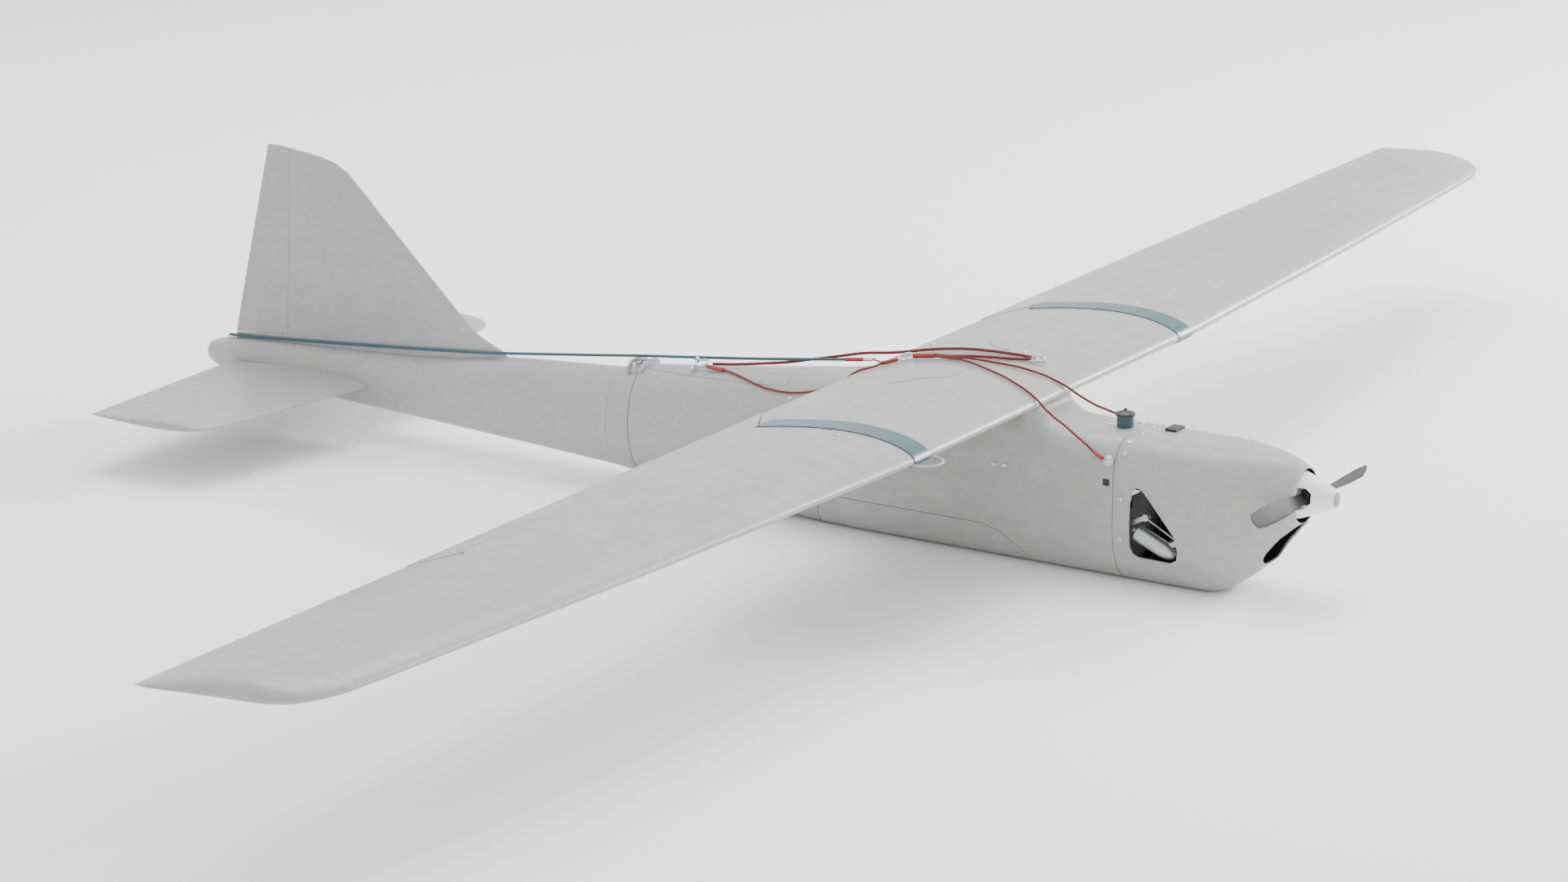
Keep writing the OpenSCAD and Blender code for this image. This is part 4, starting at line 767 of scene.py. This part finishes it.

# %% [markdown]
# ### Tail surfaces
# The tailplane has a plain symmetric section whose leading edge sweeps back, so each ring has
# its own leading and trailing edge. Its elevator's outline and hinge line are cut out of that
# skin; the elevator, fin and rudder themselves come as smooth copies of the frame below.

# %% Lofted tailplane
stab_z, stab_root, elevator_x, elevator_nose = 80, 45, -1018, 4.4
stab_stations = [[45, -816, -1065], [292, -859, -1056], [322, -866, -1055], [340, -877, -1054.5],
    [350, -892, -1054], [354, -918, -1054], [357, -968, -1053.5], [358, -1026, -1053]]
foil_u = np.sin(np.linspace(-1, 1, 61) * math.pi / 2)

def plain_foil(lead, trail, thick):
    """(x, offset from the middle) round a symmetric section, in mm."""
    s, chord = foil_u ** 2, lead - trail
    half = 5 * thick * (0.2969 * np.sqrt(s) - 0.126 * s - 0.3516 * s ** 2 + 0.2843 * s ** 3
        - 0.1015 * s ** 4)
    return lead - chord * s, np.sign(foil_u) * half

def tail_skin(name):
    y = places(stab_stations, 45, 358, 12)
    rows = through(stab_stations, y)
    def ring(at, r):
        x, off = plain_foil(r[0], r[1], 0.07 * (r[0] - r[1]))
        return np.stack([x, np.full_like(x, at), stab_z + off], 1) * mm
    right = [ring(-a, r) for a, r in zip(y[::-1], rows[::-1])]
    left = [ring(a, r) for a, r in zip(y, rows)]
    return ringed(name, right + left)

def elevator_tool(room, radius, side):
    outline = [(elevator_x, side * (27 - room)), (elevator_x, side * (311 + room)),
        (elevator_x - 60, side * (343 + room)), (elevator_x - 60, side * (27 - room))]
    circle = [(elevator_x + radius * math.cos(g), stab_z + radius * math.sin(g)) for g in turn]
    ends = sorted((side * (27 - room), side * (311 + room)))
    return prism("plan", outline, 60, 100, "z"), prism("rod", circle, *ends, "y")

stabiliser = tail_skin("stabiliser_skin")
for side in (-1, 1):
    for tool in elevator_tool(1.4, elevator_nose + gap, side):
        carve(stabiliser, tool)
slot_back, slot_front = elevator_x - 60, elevator_x + 8.4
carve(stabiliser, prism("tail_slot", [(slot_back, -27), (slot_front, -27), (slot_front, 27),
    (slot_back, 27)], 60, 100, "z"))
finish(stabiliser, "airframe", "stabiliser")

# %% [markdown]
# ### Smooth copies
# A machined or cast piece already has its right shape in the frame, but as loose triangles. Its
# copy is merged, so that shading can run over round faces and stop at real edges.

# %% Copies of the frame's own shapes
def smooth_copy(node, angle=32):
    source = cad[node].data
    mesh = bpy.data.meshes.new(node + "_skin")
    mesh.from_pydata([v.co[:] for v in source.vertices], [], [p.vertices[:] for p in source.polygons])
    body = bmesh.new()
    body.from_mesh(mesh)
    bmesh.ops.remove_doubles(body, verts=body.verts, dist=2e-6)
    body.to_mesh(mesh)
    body.free()
    mesh.shade_smooth()
    mesh.set_sharp_from_angle(angle=math.radians(angle))
    piece = bpy.data.objects.new(node + "_skin", mesh)
    bpy.context.scene.collection.objects.link(piece)
    return piece

copied = {"latch_bracket": "airframe", "latch_tongue": "airframe", "latch_pin": "steel",
    "crankcase": "cast_metal", "spark_plug": "steel", "carburettor": "machined", "muffler": "cast_metal",
    "throttle_linkage": "cast_metal", "prop_shaft": "steel", "spinner": "spinner", "fuel_tank": "tank",
    "filler_neck": "neck_teal", "filler_cap": "dark_plastic", "antenna_patch": "dark_plastic",
    "side_port": "dark_plastic", "wing_bands": "band_teal", "lifting_loop": "airframe",
    "servo_arm_left": "arm", "servo_arm_right": "arm", "pushrod_left": "steel", "pushrod_right": "steel",
    "elevator": "airframe", "elevator_pushrod": "steel", "elevator_servo_arm": "arm", "fin": "airframe",
    "rudder": "airframe", "rudder_pushrod": "steel", "rudder_servo_arm": "arm",
    "bridle_hardware": "steel", "bridle_sleeves": "sleeve_red", "propeller": "blade",
    "engine_mount": "machined", "spar_tubes": "carbon", "parachute_pack": "pack"}
for node, finish_name in copied.items():
    finish(smooth_copy(node), finish_name, node)
print("smooth copies:", len(copied))

# %% Parts that keep the frame's own mesh
# The firewall takes the near-black soot finish: painted shade for the shadow inside the cowl, not the
# colour of its ply.
kept = {"firewall": "soot", "equipment_tray": "ply", "flight_battery": "battery",
    "autopilot_box": "electronics", "aileron_servos": "servo", "tail_servos": "servo"}
for node, finish_name in kept.items():
    cad[node].data.materials.clear()
    cad[node].data.materials.append(finishes[finish_name])
finish(boom, "airframe", "tail_boom")

# %% [markdown]
# ### Screws by Geometry Nodes
# Every screw is the same pan head with a crossed slot. A tree puts one on each point of a point
# cloud, turned to the point's own direction. Moving or adding a screw means one more point.

# %% One screw head
def row_at(stations, x):
    return through(stations, np.array([float(x)]))[0]

def on_side(r, z):
    bottom, top, half, low_w, low_h, up_w, up_h = r
    if z > top - up_h:
        v = (z - top + up_h) / up_h
        u = math.sqrt(1 - v * v)
        return half - up_w + up_w * u, z, (u / up_w, v / up_h)
    if z < bottom + low_h:
        v = (bottom + low_h - z) / low_h
        u = math.sqrt(1 - v * v)
        return half - low_w + low_w * u, z, (u / low_w, -v / low_h)
    return half, z, (1, 0)

def on_deck(r, y):
    bottom, top, half, low_w, low_h, up_w, up_h = r
    u = max(0.0, (y - half + up_w) / up_w)
    v = math.sqrt(1 - u * u)
    return y, top - up_h + up_h * v, (u / up_w, v / up_h)

def screw_head(radius, height):
    profile = [(0, -4), (1.3, -4), (1.3, 0.02), (radius, 0.02), (radius, height * 0.35),
        (radius * 0.93, height * 0.62),
        (radius * 0.72, height * 0.88), (radius * 0.42, height), (0, height)]
    turns = np.linspace(0, 2 * math.pi, 29)[:-1]
    rings = [np.array([(r * math.cos(g), r * math.sin(g), z) for r, z in profile[1:-1]]) * mm
        for g in turns]
    mesh = bpy.data.meshes.new("screw_head")
    size = len(profile) - 2
    points = np.concatenate(rings).tolist()
    faces = [(a * size + i, b * size + i, b * size + i + 1, a * size + i + 1) for a, b in
        zip(range(28), [*range(1, 28), 0]) for i in range(size - 1)]
    faces += [tuple(a * size for a in range(28)), tuple(a * size + size - 1 for a in range(28))]
    mesh.from_pydata(points, [], faces)
    head = new_piece("screw_head", mesh, 50)
    for swap in (False, True):
        w, l = 0.42, radius * 0.62
        x, y = (w, l) if swap else (l, w)
        cross = [(-x, -y), (x, -y), (x, y), (-x, y)]
        carve(head, prism("slot", cross, height - 0.75, height + 2, "z"), sharp=50)
    return head

# %% Where the screws are
def wing_top(x):
    u = math.sqrt(1 - x / wing_chord)
    s = u * u
    rise = camber / 0.16 * (0.8 * s - s * s) if s < 0.4 else camber / 0.36 * (0.2 + 0.8 * s - s * s)
    half = 5 * wing_t * (0.2969 * u - 0.126 * s - 0.3516 * s ** 2 + 0.2843 * s ** 3 - 0.1015 * s ** 4)
    return wing_z + wing_chord * (rise + half)

spots = []
for side in (-1, 1):
    for stations, marks in ((cowl_stations, [(408, 174), (408, 116.5), (408, 62.5), (407, 12)]),
            (body_stations, [(221.4, 135.4), (237.2, 135.4), (-99, 174), (217, 31), (-43, 41)])):
        for x, z in marks:
            y, z, (ny, nz) = on_side(row_at(stations, x), z)
            spots.append(((x, side * y, z), (0, side * ny, nz), 1.0))
    for x, y in ((407, 16), (407, 46)):
        y, z, (ny, nz) = on_deck(row_at(cowl_stations, x), y)
        spots.append(((x, side * y, z), (0, side * ny, nz), 1.0))
    for x, y in ((178, 83), (16, 119), (178, 305), (179, 390)):
        lean = (wing_top(x - 3) - wing_top(x + 3)) / 6
        spots.append(((x, side * y, wing_top(x)), (lean, 0, 1), 1.0))
    y, z, (ny, nz) = on_side(row_at(body_stations, 389), 164)
    normal = Vector((0, side * ny, nz)).normalized()
    spots.append((tuple(Vector((389, side * y, z)) + normal * 3.2), tuple(normal), 1.44))
for x, y in ((354, 2), (386, 27)):
    y, z, (ny, nz) = on_deck(row_at(body_stations, x), y)
    spots.append(((x, y, z), (0, ny, nz), 1.0))
cloud = bpy.data.meshes.new("screw_spots")
cloud.from_pydata([tuple(c * mm for c in p) for p, n, k in spots], [], [])
for label, kind, values in (("aim", "FLOAT_VECTOR", [n for p, n, k in spots]),
                            ("grow", "FLOAT", [k for p, n, k in spots])):
    layer = cloud.attributes.new(label, kind, "POINT")
    for item, value in zip(layer.data, values):
        if kind == "FLOAT":
            item.value = value
        else:
            item.vector = Vector(value).normalized()
print("screws:", len(spots))

# %% The tree that sets the screws
bench, given, result = node_tree("screw_setting", {"Head size": 1.0})
head = screw_head(3.4, 1.5)
pattern = bench.make("GeometryNodeObjectInfo", None, {"Object": head})["Geometry"]
aim = bench.make("GeometryNodeInputNamedAttribute", {"data_type": "FLOAT_VECTOR"}, {"Name": "aim"})[0]
grow = bench.make("GeometryNodeInputNamedAttribute", {"data_type": "FLOAT"}, {"Name": "grow"})[0]
turned = bench.make("FunctionNodeAlignRotationToVector", {"axis": "Z"}, {"Vector": aim})[0]
size_of = bench.make("ShaderNodeCombineXYZ", None, {k: grow * given["Head size"] for k in range(3)})[0]
placed = bench.make("GeometryNodeInstanceOnPoints", None,
    {"Points": given["Geometry"], "Instance": pattern, "Rotation": turned, "Scale": size_of})[0]
real = bench.make("GeometryNodeRealizeInstances", None, {"Geometry": placed})[0]
real = bench.make("GeometryNodeSetMaterial", None, {"Geometry": real, "Material": finishes["steel"]})[0]
bench.tree.links.new(real.socket, result.node.inputs["Geometry"])
screws = grown_from("screws_skin", bench.tree, "steel", host=cloud)
bpy.data.objects.remove(head)

def washer(side):
    y, z, (ny, nz) = on_side(row_at(body_stations, 389), 164)
    profile = [(1.5, 0.05), (7.0, 0.05), (7.3, 0.4), (7.3, 2.5), (6.9, 3.0), (1.5, 3.0)]
    rings = [np.array([(r * math.cos(g), r * math.sin(g), h) for r, h in profile]) * mm for g in turn]
    piece = ringed("washer", rings, loop_back=True)
    normal = Vector((0, side * ny, nz)).normalized()
    piece.data.transform(normal.to_track_quat("Z", "Y").to_matrix().to_4x4())
    piece.data.transform(Matrix.Translation(Vector((389, side * y, z)) * mm))
    return piece
finish(joined("screws_skin", screws, washer(-1), washer(1)), "steel", "screws")

# %% Seam of the service panel
def panel_seam(side):
    """A dark hairline sunk into the wing's top, following its surface."""
    marks = np.array([(98, 128), (123, 97), (138, 87), (157, 81.5), (157, 40), (157, 16)])
    run = np.concatenate([[0], np.cumsum(np.linalg.norm(np.diff(marks, axis=0), axis=1))])
    even = np.linspace(0, run[-1], 60)
    x, y = (np.interp(even, run, marks[:, k]) for k in (0, 1))
    line = np.stack([x, side * y, [wing_top(a) - 0.22 for a in x]], 1) * mm
    return tube("seam", line, 0.0011, 6)
finish(joined("panel_seams", panel_seam(-1), panel_seam(1)), "dark_plastic", body="airframe")

# %% [markdown]
# ### Cooling fins by Geometry Nodes
# An air-cooled cylinder is one round plate repeated up a barrel. The tree repeats a thin
# cylinder along a line; count, pitch and radius are named inputs.

# %% The cylinder's tree
bench, given, result = node_tree("cooling_fins",
    {"Fin count": 9, "Pitch": 0.0056, "Fin radius": 0.025, "Fin thickness": 0.002})
at = bench.make("GeometryNodeMeshLine", {"mode": "OFFSET"}, {"Count": given["Fin count"],
    "Start Location": (0.545, 0, 0.060), "Offset":
    bench.make("ShaderNodeCombineXYZ", None, {2: given["Pitch"]})[0]})[0]
plate = bench.make("GeometryNodeMeshCylinder", None,
    {"Vertices": 72, "Radius": given["Fin radius"], "Depth": given["Fin thickness"]})["Mesh"]
fins = bench.make("GeometryNodeInstanceOnPoints", None, {"Points": at, "Instance": plate})[0]
def drum(radius, depth, height):
    mesh = bench.make("GeometryNodeMeshCylinder", None,
        {"Vertices": 64, "Radius": radius, "Depth": depth})["Mesh"]
    return bench.make("GeometryNodeTransform", None,
        {"Geometry": mesh, "Translation": (0.545, 0, height)})[0]
together = bench.make("GeometryNodeJoinGeometry")
for part in (fins, drum(0.016, 0.0576, 0.0858), drum(0.022, 0.006, 0.054)):
    bench.tree.links.new(part.socket, together.node.inputs[0])
real = bench.make("GeometryNodeRealizeInstances", None, {"Geometry": together[0]})[0]
real = bench.make("GeometryNodeSetMaterial", None,
    {"Geometry": real, "Material": finishes["cast_metal"]})[0]
bench.tree.links.new(real.socket, result.node.inputs["Geometry"])
finish(grown_from("engine_cylinder_skin", bench.tree, "cast_metal"), "cast_metal", "engine_cylinder")

# %% [markdown]
# ## Floor, and the end
# A pale floor lies under the belly.

# %% Floor
floor_mesh = bpy.data.meshes.new("floor")
floor_mesh.from_pydata([(-40, -40, -0.0005), (40, -40, -0.0005), (40, 40, -0.0005), (-40, 40, -0.0005)], [],
    [(0, 1, 2, 3)])
floor = bpy.data.objects.new("floor", floor_mesh)
bpy.context.scene.collection.objects.link(floor)
paper = bpy.data.materials.new("paper")
paper.use_nodes = True
paper.node_tree.nodes["Principled BSDF"].inputs["Base Color"].default_value = (0.96, 0.96, 0.96, 1)
paper.node_tree.nodes["Principled BSDF"].inputs["Roughness"].default_value = 0.9
floor_mesh.materials.append(paper)
